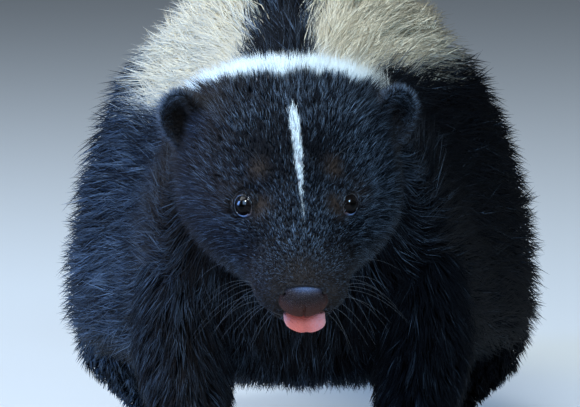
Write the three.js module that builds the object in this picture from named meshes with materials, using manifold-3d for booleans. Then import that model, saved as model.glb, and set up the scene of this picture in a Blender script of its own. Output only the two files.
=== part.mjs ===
// A striped skunk at life size, standing on all fours with its head lowered, as a still display model.
// Millimetres, +Z up, floor at z = 0. The animal looks along -Y and its left side is +X.
// Every solid reaches out to the tips of the coat. Neck and trunk, head, legs and tail are surfaces lofted
// through a few named stations, joined into one body and then parted again by thin cuts.
import * as THREE from 'three';
import { mergeVertices } from 'three/addons/utils/BufferGeometryUtils.js';
import Module from 'manifold-3d';

const wasm = await Module();
wasm.setup();

// Driving dimensions
const PARTING = 0.3; // gap left by every cut between two neighbours
const EYE_HEIGHT = 113; // the point midway between the eyes, above the floor
const EYE_OFFSET = -2; // the same point, beside the body's middle plane
const EYE_SPACING = 32;
const EYE_FORWARD = 0.8; // the eyes' place along the head
const EYEBALL_RADIUS = 4.3;
const EYE_SINK = 2.5; // centre of the eyeball under the fur line, measured along its gaze
const GAZE = [0.6, -0.6, 0.45]; // direction the left eye looks in, in head coordinates
const HEAD_PITCH = 32; // degrees, nose down
const HEAD_YAW = 5; // degrees, nose towards the animal's left
const HEAD_ROLL = 0.5; // degrees, left side up
const NOSE = { width: 15.2, height: 10, depth: 10, forward: 32.6, up: -11.6 };
const NOSE_TAPER = 0.16; // how much narrower the pad is at its lower edge
const NOSE_SQUARED = [0.84, 0.97, 0.97]; // 1 is an ellipsoid, less is squarer
const NOSTRIL = { side: 6.4, forward: 34.4, up: -8.2, radii: [1.3, 2.2, 1.6] };
const TONGUE = { width: 12.8, thickness: 2, side: 0.6, dip: 0.5, rounding: 0.3 };
const EAR_PLACE = { forward: -37.2, up: 4.2, side: 30.8, turn: 24, lean: 14 };
const EAR_RADII = [9, 5, 10.8];
const EAR_HOLLOW = { radii: [6.8, 4.6, 8], inward: 1.2, front: 4.4, down: 0.4 };
const NECK_CUT = -42; // head coordinates where head and neck part, behind the ears and under the throat
const THROAT_CUT = -40;
const SHOULDER_CUT = 62; // distances behind the eyes
const LOIN_CUT = 128;
const RUMP_CUT = 205;
const FORE_FOOT = { side: 31, toe: 28, length: 34, width: 27, height: 17, turn: 4 };
const HIND_FOOT = { side: 45, toe: 203, length: 58, width: 28, height: 19, turn: 8 };
const FORE_CLAW = { length: 13, thickness: 2.4 };
const HIND_CLAW = { length: 8, thickness: 2.2 };

// Stations. Each row is a section across the animal: its centre, its lean, its half width at the widest
// level, its reach above and below that level, and how full its corners are (2 is an ellipse).
const TRUNK_STATIONS = [
  // inside the head, nape, neck, shoulders, withers, chest, barrel, loin, hips, rump, seat
  { at: 20, z: 117, x: -3, lean: 34, half: 24, up: 21, down: 19, fullUp: 2.2, fullDown: 2.0 },
  { at: 39, z: 121, x: -4, lean: 27, half: 34.5, up: 36, down: 42, fullUp: 2.3, fullDown: 2.0 },
  { at: 57, z: 106, x: -2.5, lean: 14, half: 44, up: 48, down: 54, fullUp: 2.2, fullDown: 2.2 },
  { at: 82, z: 90, x: -1, lean: 5, half: 53, up: 65, down: 47, fullUp: 2.1, fullDown: 2.6 },
  { at: 120, z: 76, x: 0, lean: 0, half: 62, up: 86, down: 37, fullUp: 2.0, fullDown: 3.0 },
  { at: 162, z: 66, x: 0, lean: 0, half: 73, up: 104, down: 31, fullUp: 2.0, fullDown: 3.2 },
  { at: 200, z: 62, x: 0, lean: 0, half: 81, up: 115, down: 29, fullUp: 2.0, fullDown: 3.6 },
  { at: 230, z: 61, x: 0, lean: 0, half: 83, up: 117, down: 28, fullUp: 2.0, fullDown: 3.6 },
  { at: 260, z: 64, x: 0, lean: -3, half: 78, up: 107, down: 29, fullUp: 2.0, fullDown: 3.0 },
  { at: 286, z: 76, x: 0, lean: -10, half: 61, up: 77, down: 34, fullUp: 2.0, fullDown: 2.3 },
  { at: 303, z: 90, x: 0, lean: -20, half: 36, up: 43, down: 28, fullUp: 2.0, fullDown: 2.0 },
  { at: 309, z: 97, x: 0, lean: -25, half: 13, up: 17, down: 11, fullUp: 2.0, fullDown: 2.0 },
];
// Head coordinates: forward along the muzzle and up, from the point midway between the eyes.
const HEAD_STATIONS = [
  // inside the neck, nape, crown, ears, cheeks, brow, eyes, stop, muzzle, whisker pads, lip, nose
  { at: -60, wide: -7, half: 26, top: 12, bottom: -30, full: 2.2 },
  { at: -50, wide: -7, half: 32, top: 19, bottom: -35, full: 2.3 },
  { at: -38, wide: -7, half: 33.8, top: 21, bottom: -36, full: 2.4 },
  { at: -28, wide: -7, half: 33.2, top: 19.7, bottom: -35, full: 2.3 },
  { at: -18, wide: -9, half: 31.8, top: 16.8, bottom: -34, full: 2.1 },
  { at: -8, wide: -11, half: 29, top: 13, bottom: -32.5, full: 1.8 },
  { at: 0, wide: -12, half: 25.2, top: 9.5, bottom: -31, full: 1.6 },
  { at: 7, wide: -12, half: 21, top: 6.2, bottom: -29.5, full: 1.75 },
  { at: 14, wide: -12.5, half: 17.4, top: 3, bottom: -28, full: 1.95 },
  { at: 21, wide: -12.5, half: 15.2, top: 0, bottom: -26.5, full: 2.15 },
  { at: 27, wide: -12.5, half: 13.3, top: -3, bottom: -25, full: 2.25 },
  { at: 31.5, wide: -12.5, half: 10.8, top: -6, bottom: -22, full: 2.3 },
  { at: 34.5, wide: -11.5, half: 7, top: -8.5, bottom: -16.3, full: 2.2 },
];
// Mounds and hollows on the head, one for each side: place, spread and height along the surface's normal.
const HEAD_FORMS = [
  // eye socket, brow, cheek, whisker pad
  { forward: 1, side: 16, up: 1, spread: 5.5, height: -1.3 },
  { forward: -7, side: 12, up: 10, spread: 6, height: 1.1 },
  { forward: -14, side: 29, up: -13, spread: 10, height: 1.2 },
  { forward: 27, side: 12, up: -14, spread: 5.5, height: 1.2 },
];
// The mouth line in head coordinates: the jaw's hinge, the corner of the lips, where the line leaves the
// lip, the levels of the two lips at their front and how steeply the line falls towards the hinge.
const MOUTH = { hinge: -6, corner: 12, bend: 26, front: 35, upper: -16, lower: -17.4, slope: 0.07 };
const TAIL_STATIONS = [
  // root inside the rump, root, arch, middle, lower third, end of the bone, plume
  { at: 290, z: 106, radius: 17 },
  { at: 312, z: 112, radius: 21 },
  { at: 345, z: 116, radius: 28 },
  { at: 385, z: 110, radius: 35 },
  { at: 430, z: 93, radius: 40 },
  { at: 472, z: 73, radius: 40 },
  { at: 508, z: 59, radius: 35 },
  { at: 535, z: 52, radius: 25 },
  { at: 551, z: 49, radius: 13 },
  { at: 556, z: 48, radius: 4 },
];
const TAIL_CUTS = [365, 455];
const TAIL_COLLAR = 13; // from the end of the seat to the start of the tail's own length
// Joints of the leg's middle line and the leg's radius there, from shoulder or hip down to the ankle.
const FORE_LEG = [
  { side: 33, at: 80, z: 108, radius: 9 },
  { side: 36, at: 82, z: 82, radius: 21 },
  { side: 38, at: 80, z: 58, radius: 21 },
  { side: 35, at: 67, z: 36, radius: 16.5 },
  { side: 31.5, at: 57, z: 19, radius: 13 },
  { side: 31, at: 55, z: 8, radius: 11.5 },
];
const HIND_LEG = [
  { side: 44, at: 230, z: 104, radius: 12 },
  { side: 50, at: 226, z: 78, radius: 27 },
  { side: 54, at: 225, z: 54, radius: 29 },
  { side: 54.5, at: 238, z: 34, radius: 28 },
  { side: 48, at: 249, z: 18, radius: 18.5 },
  { side: 45, at: 250, z: 8, radius: 11.5 },
];
// The masses of shoulder and thigh, which part the upper legs from the trunk.
const SHOULDER_MASS = { side: 38, at: 80, z: 80, half: 28, length: 38, height: 54 };
const THIGH_MASS = { side: 51, at: 236, z: 81, half: 41, length: 50, height: 60 };
const FORE_ANKLE = 18; // height where the foot parts from the leg
const HIND_ANKLE = 17;
const LEG_FLATNESS = 0.86; // a leg's thickness across the animal, as a share of its depth
const TAIL_ROUND = { across: 0.95, up: 1, down: 1.05 }; // the tail's section, as shares of its radius

// A foot's sole, in shares of the foot's length, width and height, and its levels above the floor.
const SOLE = {
  start: 0.16, // it begins this far behind the toe tips
  fullest: 0.35, // the outline bows out most here, and would close this far to either side
  reach: 0.72,
  frontWidth: 1.02,
  heelWidth: 0.76,
  frontHeight: 0.62,
  level: 3, // the widest level, and how far the foot would reach below it without the floor
  under: 5,
};
// The toes' middles across a foot, and how far each stands back from the longest, in widths of the foot.
const TOE_SPREAD = 1.04;
const TOE_HEIGHT = 3.4;
const TOE_SHAPE = { across: 0.12, up: 0.17, length: 0.5, tip: 0.55 };
const TOE_BACK = [0.17, 0.05, 0, 0.04, 0.14];
const TOES = [-2, -1, 0, 1, 2].map((place, i) => ({ place, across: place * 0.2, back: TOE_BACK[i] }));
// A claw's fan, its hump over the toe, its drop to the tip and how much it tapers.
const CLAW_SHAPE = { fan: 0.07, hump: 1.2, drop: 3, taper: 0.8, flatness: 0.75 };

// Resolution of the faceted surfaces
const TRUNK_STEPS = 17;
const TRUNK_SIDES = 20;
const HEAD_STEPS = 18;
const HEAD_SIDES = 20;
const TAIL_STEPS = 14;
const TAIL_SIDES = 12;
const LEG_STEPS = 6;
const LEG_SIDES = 10;
const FOOT_STEPS = 6;
const FOOT_SIDES = 8;
const TOE_SIDES = 5;
const CLAW_STEPS = 3;
const CLAW_SIDES = 4;
const TONGUE_STEPS = 7;
const TONGUE_SIDES = 10;

const FAR = 900; // beyond the whole animal
const HEAD_CLEAR = 60; // beyond the head, from the point midway between the eyes
const radians = THREE.MathUtils.degToRad;

// Materials
const blackFur = new THREE.MeshStandardMaterial({ color: 0x15161b, roughness: 0.85, metalness: 0 });
const whiteFur = new THREE.MeshStandardMaterial({ color: 0xe6e8ee, roughness: 0.85, metalness: 0 });
const noseSkin = new THREE.MeshStandardMaterial({ color: 0x2a2122, roughness: 0.35, metalness: 0 });
const tongueSkin = new THREE.MeshStandardMaterial({ color: 0xd98384, roughness: 0.4, metalness: 0 });
const eyeGloss = new THREE.MeshStandardMaterial({ color: 0x0c0a0b, roughness: 0.05, metalness: 0 });
const clawHorn = new THREE.MeshStandardMaterial({ color: 0x6d6257, roughness: 0.45, metalness: 0 });

// A smooth value through the stations: a cubic between neighbours whose slope at each station is that of
// the chord between the stations before and after it.
function through(stations, key, at) {
  const last = stations.length - 1;
  let i = 0;
  while (i < last - 1 && at > stations[i + 1].at) i += 1;
  const slope = (k) => {
    const a = stations[Math.max(k - 1, 0)];
    const b = stations[Math.min(k + 1, last)];
    return (b[key] - a[key]) / (b.at - a.at);
  };
  const [p, q] = [stations[i], stations[i + 1]];
  const span = q.at - p.at;
  const t = THREE.MathUtils.clamp((at - p.at) / span, 0, 1);
  const [tt, ttt] = [t * t, t * t * t];
  return (2 * ttt - 3 * tt + 1) * p[key] + (ttt - 2 * tt + t) * span * slope(i)
    + (3 * tt - 2 * ttt) * q[key] + (ttt - tt) * span * slope(i + 1);
}

// Even steps from one value to another, both ends included.
function stepsBetween(from, to, count) {
  return Array.from({ length: count + 1 }, (_, i) => from + (to - from) * i / count);
}

// Steps that lie closer together towards both ends, where a loft rounds off. A larger pull moves them more.
function stepsRounded(from, to, count, pull) {
  return stepsBetween(0, 1, count).map((t) => from + (to - from) * (t - pull * Math.sin(2 * Math.PI * t)));
}

// A point of a superellipse ring: angle 0 is the animal's left, a quarter turn is up.
function ringPoint(angle, half, up, down, fullUp, fullDown) {
  const [c, s] = [Math.cos(angle), Math.sin(angle)];
  const full = s >= 0 ? fullUp : fullDown;
  const reach = s >= 0 ? up : down;
  return [
    half * Math.sign(c) * Math.abs(c) ** (2 / full),
    reach * Math.sign(s) * Math.abs(s) ** (2 / full),
  ];
}

// Rings of points joined into a closed skin, with a fan over the first and the last ring.
function skinOver(rings) {
  const sides = rings[0].length;
  const points = rings.flat();
  const middle = (ring) => ring.reduce((sum, p) => sum.add(p), new THREE.Vector3()).divideScalar(sides);
  points.push(middle(rings[0]), middle(rings[rings.length - 1]));
  const [startHub, endHub] = [points.length - 2, points.length - 1];
  const endRing = (rings.length - 1) * sides;
  const faces = [];
  for (let side = 0; side < sides; side += 1) {
    const next = (side + 1) % sides;
    for (let row = 0; row < endRing; row += sides) {
      faces.push(row + side, row + sides + side, row + next);
      faces.push(row + next, row + sides + side, row + sides + next);
    }
    faces.push(startHub, side, next);
    faces.push(endHub, endRing + next, endRing + side);
  }
  const geometry = new THREE.BufferGeometry();
  geometry.setAttribute('position', new THREE.Float32BufferAttribute(points.flatMap((p) => p.toArray()), 3));
  geometry.setIndex(faces);
  return solidOf(geometry);
}

// A closed geometry as a solid; one that was wound inside out is turned round first.
function solidOf(geometry) {
  const clean = geometry.clone();
  clean.deleteAttribute('normal');
  clean.deleteAttribute('uv');
  const merged = mergeVertices(clean, 1e-4);
  const build = (triVerts) => new wasm.Manifold(new wasm.Mesh({
    numProp: 3,
    vertProperties: new Float32Array(merged.attributes.position.array),
    triVerts,
  }));
  const triangles = new Uint32Array(merged.index.array);
  const solid = build(triangles);
  return solid.volume() > 0 ? solid : build(triangles.reverse());
}

function geometryOf(solid) {
  const mesh = solid.getMesh();
  const geometry = new THREE.BufferGeometry();
  const positions = new Float32Array(mesh.vertProperties);
  geometry.setAttribute('position', new THREE.BufferAttribute(positions, 3));
  geometry.setIndex(new THREE.BufferAttribute(new Uint32Array(mesh.triVerts), 1));
  return geometry;
}

// The largest connected piece of a solid, without any sliver that a cut leaves.
function mainPiece(solid) {
  return solid.decompose().reduce((best, piece) => (piece.volume() > best.volume() ? piece : best));
}

function ellipsoid(center, radii, columns, rows) {
  const geometry = new THREE.SphereGeometry(1, columns, rows);
  geometry.scale(...radii);
  geometry.translate(...center);
  return solidOf(geometry);
}

// A block between two corners, for parting along straight planes.
function block(low, high) {
  const size = high.map((value, i) => value - low[i]);
  const geometry = new THREE.BoxGeometry(...size);
  geometry.translate(...low.map((value, i) => value + size[i] / 2));
  return solidOf(geometry);
}

// Neck and trunk
function trunkSolid() {
  const [from, to] = [TRUNK_STATIONS[0].at, TRUNK_STATIONS.at(-1).at];
  const rings = stepsRounded(from, to, TRUNK_STEPS, 0.11).map((at) => {
    const value = (key) => through(TRUNK_STATIONS, key, at);
    const lean = radians(value('lean'));
    const section = ['half', 'up', 'down', 'fullUp', 'fullDown'].map(value);
    return Array.from({ length: TRUNK_SIDES }, (_, side) => {
      const [across, up] = ringPoint(2 * Math.PI * side / TRUNK_SIDES, ...section);
      const [back, rise] = [-up * Math.sin(lean), up * Math.cos(lean)];
      return new THREE.Vector3(value('x') + across, at + back, value('z') + rise);
    });
  });
  return skinOver(rings);
}

// Head. Its own frame has the muzzle along -Y, the crown along +Z and the midpoint of the eyes as origin.
const headFrame = new THREE.Matrix4()
  .makeTranslation(EYE_OFFSET, 0, EYE_HEIGHT)
  .multiply(new THREE.Matrix4().makeRotationZ(radians(HEAD_YAW)))
  .multiply(new THREE.Matrix4().makeRotationX(radians(HEAD_PITCH)))
  .multiply(new THREE.Matrix4().makeRotationY(radians(-HEAD_ROLL)));

// A point of the head's surface, grown outwards by a margin, with the mounds and hollows added.
function headPoint(forward, angle, margin) {
  const value = (key) => through(HEAD_STATIONS, key, forward);
  const wide = value('wide');
  const [side, rise] = ringPoint(
    angle, value('half') + margin, value('top') - wide + margin, wide - value('bottom') + margin,
    value('full'), 2);
  const point = new THREE.Vector3(side, -forward, wide + rise);
  const outwards = new THREE.Vector3(side, 0, rise).normalize();
  for (const form of HEAD_FORMS) {
    const center = new THREE.Vector3(Math.sign(side || 1) * form.side, -form.forward, form.up);
    const share = Math.exp(-((point.distanceTo(center) / form.spread) ** 2));
    point.addScaledVector(outwards, form.height * share);
  }
  return point;
}

function headSolid(margin = 0) {
  const [from, to] = [HEAD_STATIONS[0].at, HEAD_STATIONS.at(-1).at];
  const angles = Array.from({ length: HEAD_SIDES }, (_, side) => 2 * Math.PI * side / HEAD_SIDES);
  const rings = stepsRounded(from, to, HEAD_STEPS, 0.05)
    .map((forward) => angles.map((angle) => headPoint(forward, angle, margin)));
  return skinOver(rings);
}

// The place of an eyeball's centre: under the surface beside the bridge, in the head's own frame.
function eyePlace(side) {
  const half = EYE_SPACING / 2;
  const halvings = 30;
  let [low, high] = [0, Math.PI / 2];
  for (let i = 0; i < halvings; i += 1) {
    const middle = (low + high) / 2;
    if (headPoint(EYE_FORWARD, middle, 0).x > half) low = middle;
    else high = middle;
  }
  const surface = headPoint(EYE_FORWARD, low, 0);
  const outwards = new THREE.Vector3(...GAZE).normalize();
  const center = surface.addScaledVector(outwards, -EYE_SINK);
  center.x *= side;
  return center;
}

function eyeSolid(side, margin = 0) {
  const place = eyePlace(side);
  return ellipsoid(place.toArray(), Array(3).fill(EYEBALL_RADIUS + margin), 8, 6);
}

// The nose leather: a ball squared a little into a pad with a broad top, and a nostril on each side.
function noseSolid(margin = 0) {
  const [half, deep, high] = [NOSE.width, NOSE.depth, NOSE.height].map((size) => size / 2 + margin);
  const geometry = new THREE.SphereGeometry(1, 12, 8);
  const position = geometry.attributes.position;
  const squared = (value, power) => Math.sign(value) * Math.abs(value) ** power;
  for (let i = 0; i < position.count; i += 1) {
    const z = position.getZ(i);
    const taper = 1 - NOSE_TAPER * Math.max(-z, 0);
    position.setXYZ(
      i,
      squared(position.getX(i), NOSE_SQUARED[0]) * half * taper,
      squared(position.getY(i), NOSE_SQUARED[1]) * deep - NOSE.forward,
      squared(z, NOSE_SQUARED[2]) * high + NOSE.up,
    );
  }
  const pad = solidOf(geometry);
  if (margin > 0) return pad;
  const nostrils = [1, -1].map((side) => (
    ellipsoid([side * NOSTRIL.side, -NOSTRIL.forward, NOSTRIL.up], NOSTRIL.radii, 6, 4)));
  return nostrils.reduce((rest, nostril) => rest.subtract(nostril), pad);
}

// The tongue: a flat strap that comes out over the lower lip and curls down, dipped along its middle.
function tongueSolid(margin = 0) {
  // root in the mouth, middle, lip, bend, tip
  const route = new THREE.CatmullRomCurve3([
    new THREE.Vector3(TONGUE.side, -16, -17.5),
    new THREE.Vector3(TONGUE.side, -24, -17),
    new THREE.Vector3(TONGUE.side, -30, -16.7),
    new THREE.Vector3(TONGUE.side, -33.6, -18),
    new THREE.Vector3(TONGUE.side, -35.1, -21.2),
  ]);
  const straight = 1 - TONGUE.rounding;
  const closing = TONGUE.rounding + 0.04;
  const thick = TONGUE.thickness / 2 + margin;
  const rings = stepsBetween(0, 1, TONGUE_STEPS).map((t) => {
    const center = route.getPoint(t);
    const along = route.getTangent(t);
    const normal = new THREE.Vector3(0, along.z, -along.y);
    const round = Math.sqrt(1 - (Math.max(t - straight, 0) / closing) ** 2);
    const half = TONGUE.width / 2 * round + margin;
    return Array.from({ length: TONGUE_SIDES }, (_, k) => {
      const [across, rise] = ringPoint(2 * Math.PI * k / TONGUE_SIDES, half, thick, thick, 3, 3);
      const dip = -TONGUE.dip * Math.exp(-((across / 2) ** 2));
      return center.clone().addScaledVector(normal, rise + dip).setX(TONGUE.side + across);
    });
  });
  return skinOver(rings);
}

// An ear: a low rounded flap, cupped towards the front, standing on the corner of the head.
function earSolid(side) {
  const { forward, up, side: out, turn, lean } = EAR_PLACE;
  const frame = new THREE.Matrix4().makeTranslation(side * out, -forward, up)
    .multiply(new THREE.Matrix4().makeRotationZ(radians(side * turn)))
    .multiply(new THREE.Matrix4().makeRotationY(radians(side * lean)));
  const flap = ellipsoid([0, 0, 0], EAR_RADII, 11, 8);
  const { radii, inward, front, down } = EAR_HOLLOW;
  const hollow = ellipsoid([-side * inward, -front, -down], radii, 8, 6);
  return flap.subtract(hollow).transform(frame.elements);
}

// The part of the head in front of the hinge and below the mouth line belongs to the jaw.
function jawCell(gap) {
  const { hinge, front, lower, slope } = MOUTH;
  const outline = new THREE.Shape([
    new THREE.Vector2(hinge + gap, lower - slope * front - gap),
    new THREE.Vector2(hinge + gap, -HEAD_CLEAR),
    new THREE.Vector2(HEAD_CLEAR, -HEAD_CLEAR),
    new THREE.Vector2(HEAD_CLEAR, lower - gap),
  ]);
  return sideExtrusion(outline);
}

// The slot of the slightly open mouth, from its corner to the lips.
function mouthSlot() {
  const { corner, bend, front, upper, lower, slope } = MOUTH;
  const back = lower - slope * (front - corner);
  const outline = new THREE.Shape([
    new THREE.Vector2(corner, back - PARTING),
    new THREE.Vector2(HEAD_CLEAR, lower - PARTING),
    new THREE.Vector2(HEAD_CLEAR, upper),
    new THREE.Vector2(bend, upper - PARTING),
    new THREE.Vector2(corner, back + PARTING),
  ]);
  return sideExtrusion(outline);
}

// An outline drawn in forward and up, extruded across the whole head.
function sideExtrusion(outline) {
  const geometry = new THREE.ExtrudeGeometry(outline, { depth: 2 * HEAD_CLEAR, bevelEnabled: false });
  geometry.translate(0, 0, -HEAD_CLEAR);
  const axes = new THREE.Matrix4().makeBasis(
    new THREE.Vector3(0, -1, 0), new THREE.Vector3(0, 0, 1), new THREE.Vector3(1, 0, 0));
  geometry.applyMatrix4(axes);
  return solidOf(geometry);
}

// Legs: a tapered tube down the leg's middle line, run into the foot.
function legTube(joints, side) {
  const route = new THREE.CatmullRomCurve3(
    joints.map((joint) => new THREE.Vector3(side * joint.side, joint.at, joint.z)));
  const rings = stepsBetween(0, 1, LEG_STEPS).map((t) => {
    const place = route.getPoint(t);
    const spot = t * (joints.length - 1);
    const i = Math.min(Math.floor(spot), joints.length - 2);
    const radius = THREE.MathUtils.lerp(joints[i].radius, joints[i + 1].radius, spot - i);
    return Array.from({ length: LEG_SIDES }, (_, k) => {
      const angle = 2 * Math.PI * k / LEG_SIDES;
      const offset = new THREE.Vector3(radius * LEG_FLATNESS * Math.cos(angle), radius * Math.sin(angle), 0);
      return place.clone().add(offset);
    });
  });
  return skinOver(rings);
}

// A foot's own frame: its middle on the floor, toes towards -Y and turned outwards a little.
function footFrame(foot, side) {
  return new THREE.Matrix4().makeTranslation(side * foot.side, foot.toe + foot.length / 2, 0)
    .multiply(new THREE.Matrix4().makeRotationZ(radians(side * foot.turn)));
}

// A foot: a rounded sole pad with five short toes, cut flat where it stands.
function footSolid(foot, side) {
  const { length, width, height } = foot;
  const least = 0.14; // the rings at both ends keep this share of the bow
  const rings = stepsBetween(0, 1, FOOT_STEPS).map((t) => {
    const along = length * (SOLE.start + (1 - SOLE.start) * t - 0.5);
    const bow = Math.sqrt(Math.max(1 - ((t - SOLE.fullest) / SOLE.reach) ** 2, least ** 2));
    const share = THREE.MathUtils.lerp(SOLE.frontWidth, SOLE.heelWidth, t);
    const half = width / 2 * share * Math.min(1, bow * 1.15);
    const top = height * THREE.MathUtils.lerp(SOLE.frontHeight, 1, t) * bow;
    return Array.from({ length: FOOT_SIDES }, (_, k) => {
      const [across, rise] = ringPoint(2 * Math.PI * k / FOOT_SIDES, half, top, SOLE.under, 2, 2);
      return new THREE.Vector3(across, along, SOLE.level + rise);
    });
  });
  const toes = TOES.map((toe) => {
    const middle = side * toe.across * width * TOE_SPREAD;
    const tip = -length / 2 + toe.back * width;
    return skinOver([[0, TOE_SHAPE.tip], [TOE_SHAPE.length, 1]].map(([along, share]) => (
      Array.from({ length: TOE_SIDES }, (_, k) => {
        const angle = 2 * Math.PI * (k + 0.25) / TOE_SIDES;
        const x = middle + TOE_SHAPE.across * width * share * Math.cos(angle);
        const z = TOE_HEIGHT + TOE_SHAPE.up * width * share * Math.sin(angle);
        return new THREE.Vector3(x, tip + along * width, z);
      })
    )));
  });
  const whole = toes.reduce((joined, toe) => joined.add(toe), skinOver(rings));
  const standing = whole.subtract(block([-FAR, -FAR, -FAR], [FAR, FAR, 0]));
  return standing.transform(footFrame(foot, side).elements);
}

// A claw: a curved, tapering horn with a blunt tip, from the toe's end to just over the floor.
function clawSolid(foot, claw, toe, side) {
  const { length, width } = foot;
  const start = -length / 2 + toe.back * width - PARTING;
  const x = side * toe.across * width * TOE_SPREAD;
  const fan = side * toe.place * CLAW_SHAPE.fan;
  const rings = stepsBetween(0, 1, CLAW_STEPS).map((t) => {
    const radius = claw.thickness / 2 * (1 - CLAW_SHAPE.taper * t * t);
    const half = CLAW_SHAPE.flatness * radius;
    const reach = claw.length * t;
    const z = TOE_HEIGHT + CLAW_SHAPE.hump * Math.sin(2.2 * t) - CLAW_SHAPE.drop * t * t;
    return Array.from({ length: CLAW_SIDES }, (_, k) => {
      const angle = 2 * Math.PI * k / CLAW_SIDES;
      const across = x + fan * reach + half * Math.cos(angle);
      return new THREE.Vector3(across, start - reach, z + radius * Math.sin(angle));
    });
  });
  return skinOver(rings).transform(footFrame(foot, side).elements);
}

// Tail: round sections square to a path in the middle plane.
function tailSolid() {
  const [from, to] = [TAIL_STATIONS[0].at, TAIL_STATIONS.at(-1).at];
  const rings = stepsRounded(from, to, TAIL_STEPS, 0.06).map((at) => {
    const [z, radius] = ['z', 'radius'].map((key) => through(TAIL_STATIONS, key, at));
    const lean = Math.atan((through(TAIL_STATIONS, 'z', at + 1) - through(TAIL_STATIONS, 'z', at - 1)) / 2);
    const reach = ['across', 'up', 'down'].map((way) => radius * TAIL_ROUND[way]);
    return Array.from({ length: TAIL_SIDES }, (_, side) => {
      const [across, up] = ringPoint(2 * Math.PI * side / TAIL_SIDES, ...reach, 2, 2);
      return new THREE.Vector3(across, at - up * Math.sin(lean), z + up * Math.cos(lean));
    });
  });
  return skinOver(rings);
}

// Assembly: join the body, then part it
const model = new THREE.Group();
function addNode(name, solid, material) {
  const mesh = new THREE.Mesh(geometryOf(mainPiece(solid)), material);
  mesh.name = name;
  model.add(mesh);
}
const inHeadFrame = (solid) => solid.transform(headFrame.elements);
const sideWord = (side) => (side > 0 ? 'left' : 'right');

const sockets = [1, -1].map((side) => eyeSolid(side, PARTING));
const hollows = [noseSolid(PARTING), mouthSlot(), tongueSolid(PARTING), ...sockets];
const wholeHead = hollows.reduce((rest, hollow) => rest.subtract(hollow), headSolid());

// Head and jaw. The jaw starts at the hinge, in front of the throat.
const headCell = (gap) => inHeadFrame(
  block([-FAR, -FAR, THROAT_CUT - gap], [FAR, gap - NECK_CUT, FAR]));
const jaw = wholeHead.intersect(jawCell(PARTING));
const trunk = trunkSolid();
const upperHead = wholeHead.subtract(jawCell(0));
const body = inHeadFrame(upperHead).add(trunk.subtract(inHeadFrame(jawCell(0))));
addNode('head', body.intersect(headCell(0)), blackFur);
addNode('lower_jaw', inHeadFrame(jaw), blackFur);
addNode('nose', inHeadFrame(noseSolid()), noseSkin);
addNode('tongue', inHeadFrame(tongueSolid().subtract(noseSolid(PARTING))), tongueSkin);
for (const side of [1, -1]) addNode(`eye_${sideWord(side)}`, inHeadFrame(eyeSolid(side)), eyeGloss);

const grownHead = inHeadFrame(headSolid(PARTING));
for (const side of [1, -1]) {
  const napeBeside = trunk.translate([side * PARTING, -PARTING, PARTING]);
  const ear = inHeadFrame(earSolid(side)).subtract(grownHead).subtract(trunk).subtract(napeBeside);
  addNode(`ear_${sideWord(side)}`, ear, blackFur);
}

// Neck and trunk, with the shoulders and thighs taken out of them
const wholeTorso = body.subtract(headCell(PARTING)).add(tailSolid());
const legs = [];
for (const side of [1, -1]) {
  for (const [kind, joints, foot, mass, ankle] of [
    ['fore', FORE_LEG, FORE_FOOT, SHOULDER_MASS, FORE_ANKLE],
    ['hind', HIND_LEG, HIND_FOOT, THIGH_MASS, HIND_ANKLE],
  ]) {
    const center = [side * mass.side, mass.at, mass.z];
    const radii = [mass.half, mass.length, mass.height];
    const cell = ellipsoid(center, radii, 12, 6);
    const grown = ellipsoid(center, radii.map((r) => r + PARTING), 12, 6);
    const limb = legTube(joints, side).add(footSolid(foot, side));
    legs.push({ kind, side, foot, ankle, cell, grown, limb });
  }
}
const torso = legs.reduce((rest, leg) => rest.subtract(leg.grown), wholeTorso);

for (const { kind, side, foot, ankle, cell, grown, limb } of legs) {
  const [upperName, lowerName, footName, claw] = kind === 'fore'
    ? ['upper_arm', 'forearm', 'forefoot', FORE_CLAW]
    : ['thigh', 'shank', 'hind_foot', HIND_CLAW];
  const word = sideWord(side);
  const upper = wholeTorso.add(limb).intersect(cell);
  const lower = limb.subtract(grown);
  const overAnkle = block([-FAR, -FAR, ankle + PARTING], [FAR, FAR, FAR]);
  const underAnkle = block([-FAR, -FAR, -FAR], [FAR, FAR, ankle]);
  addNode(`${upperName}_${word}`, upper, blackFur);
  addNode(`${lowerName}_${word}`, lower.intersect(overAnkle), blackFur);
  addNode(`${footName}_${word}`, lower.intersect(underAnkle), blackFur);
  TOES.forEach((toe, i) => {
    addNode(`${kind}_claw_${i + 1}_${word}`, clawSolid(foot, claw, toe, side), clawHorn);
  });
}

// Neck, chest, loin, rump and the three lengths of the tail, between planes across the animal
function slice(from, to) {
  return torso.intersect(block([-FAR, from, -FAR], [FAR, to, FAR]));
}
const [tailUpperCut, tailLowerCut] = TAIL_CUTS;
const tailStart = TRUNK_STATIONS.at(-1).at + TAIL_COLLAR;
addNode('neck', slice(-FAR, SHOULDER_CUT), whiteFur);
addNode('chest', slice(SHOULDER_CUT + PARTING, LOIN_CUT), blackFur);
addNode('loin', slice(LOIN_CUT + PARTING, RUMP_CUT), blackFur);
addNode('rump', slice(RUMP_CUT + PARTING, tailStart), blackFur);
addNode('tail_root', slice(tailStart + PARTING, tailUpperCut), blackFur);
addNode('tail_middle', slice(tailUpperCut + PARTING, tailLowerCut), whiteFur);
addNode('tail_tip', slice(tailLowerCut + PARTING, FAR), whiteFur);

// The origin is on the floor, under the middle of the whole model
const box = new THREE.Box3().setFromObject(model);
const middle = box.getCenter(new THREE.Vector3());
model.position.set(-middle.x, -middle.y, -box.min.z);

export default model;
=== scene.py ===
# %% [markdown]
# # A striped skunk in its coat
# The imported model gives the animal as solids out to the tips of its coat. This script gives it its looks.
# One skin lies under the coat, and thin mesh tufts stand on it and lie as real fur does, out to the
# outline of the solids. Eyes, nose, tongue and claws are pieces of their own.
# Lengths are in metres, in the model's frame: +Z up, the animal looks along -Y, its left side is +X.

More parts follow.
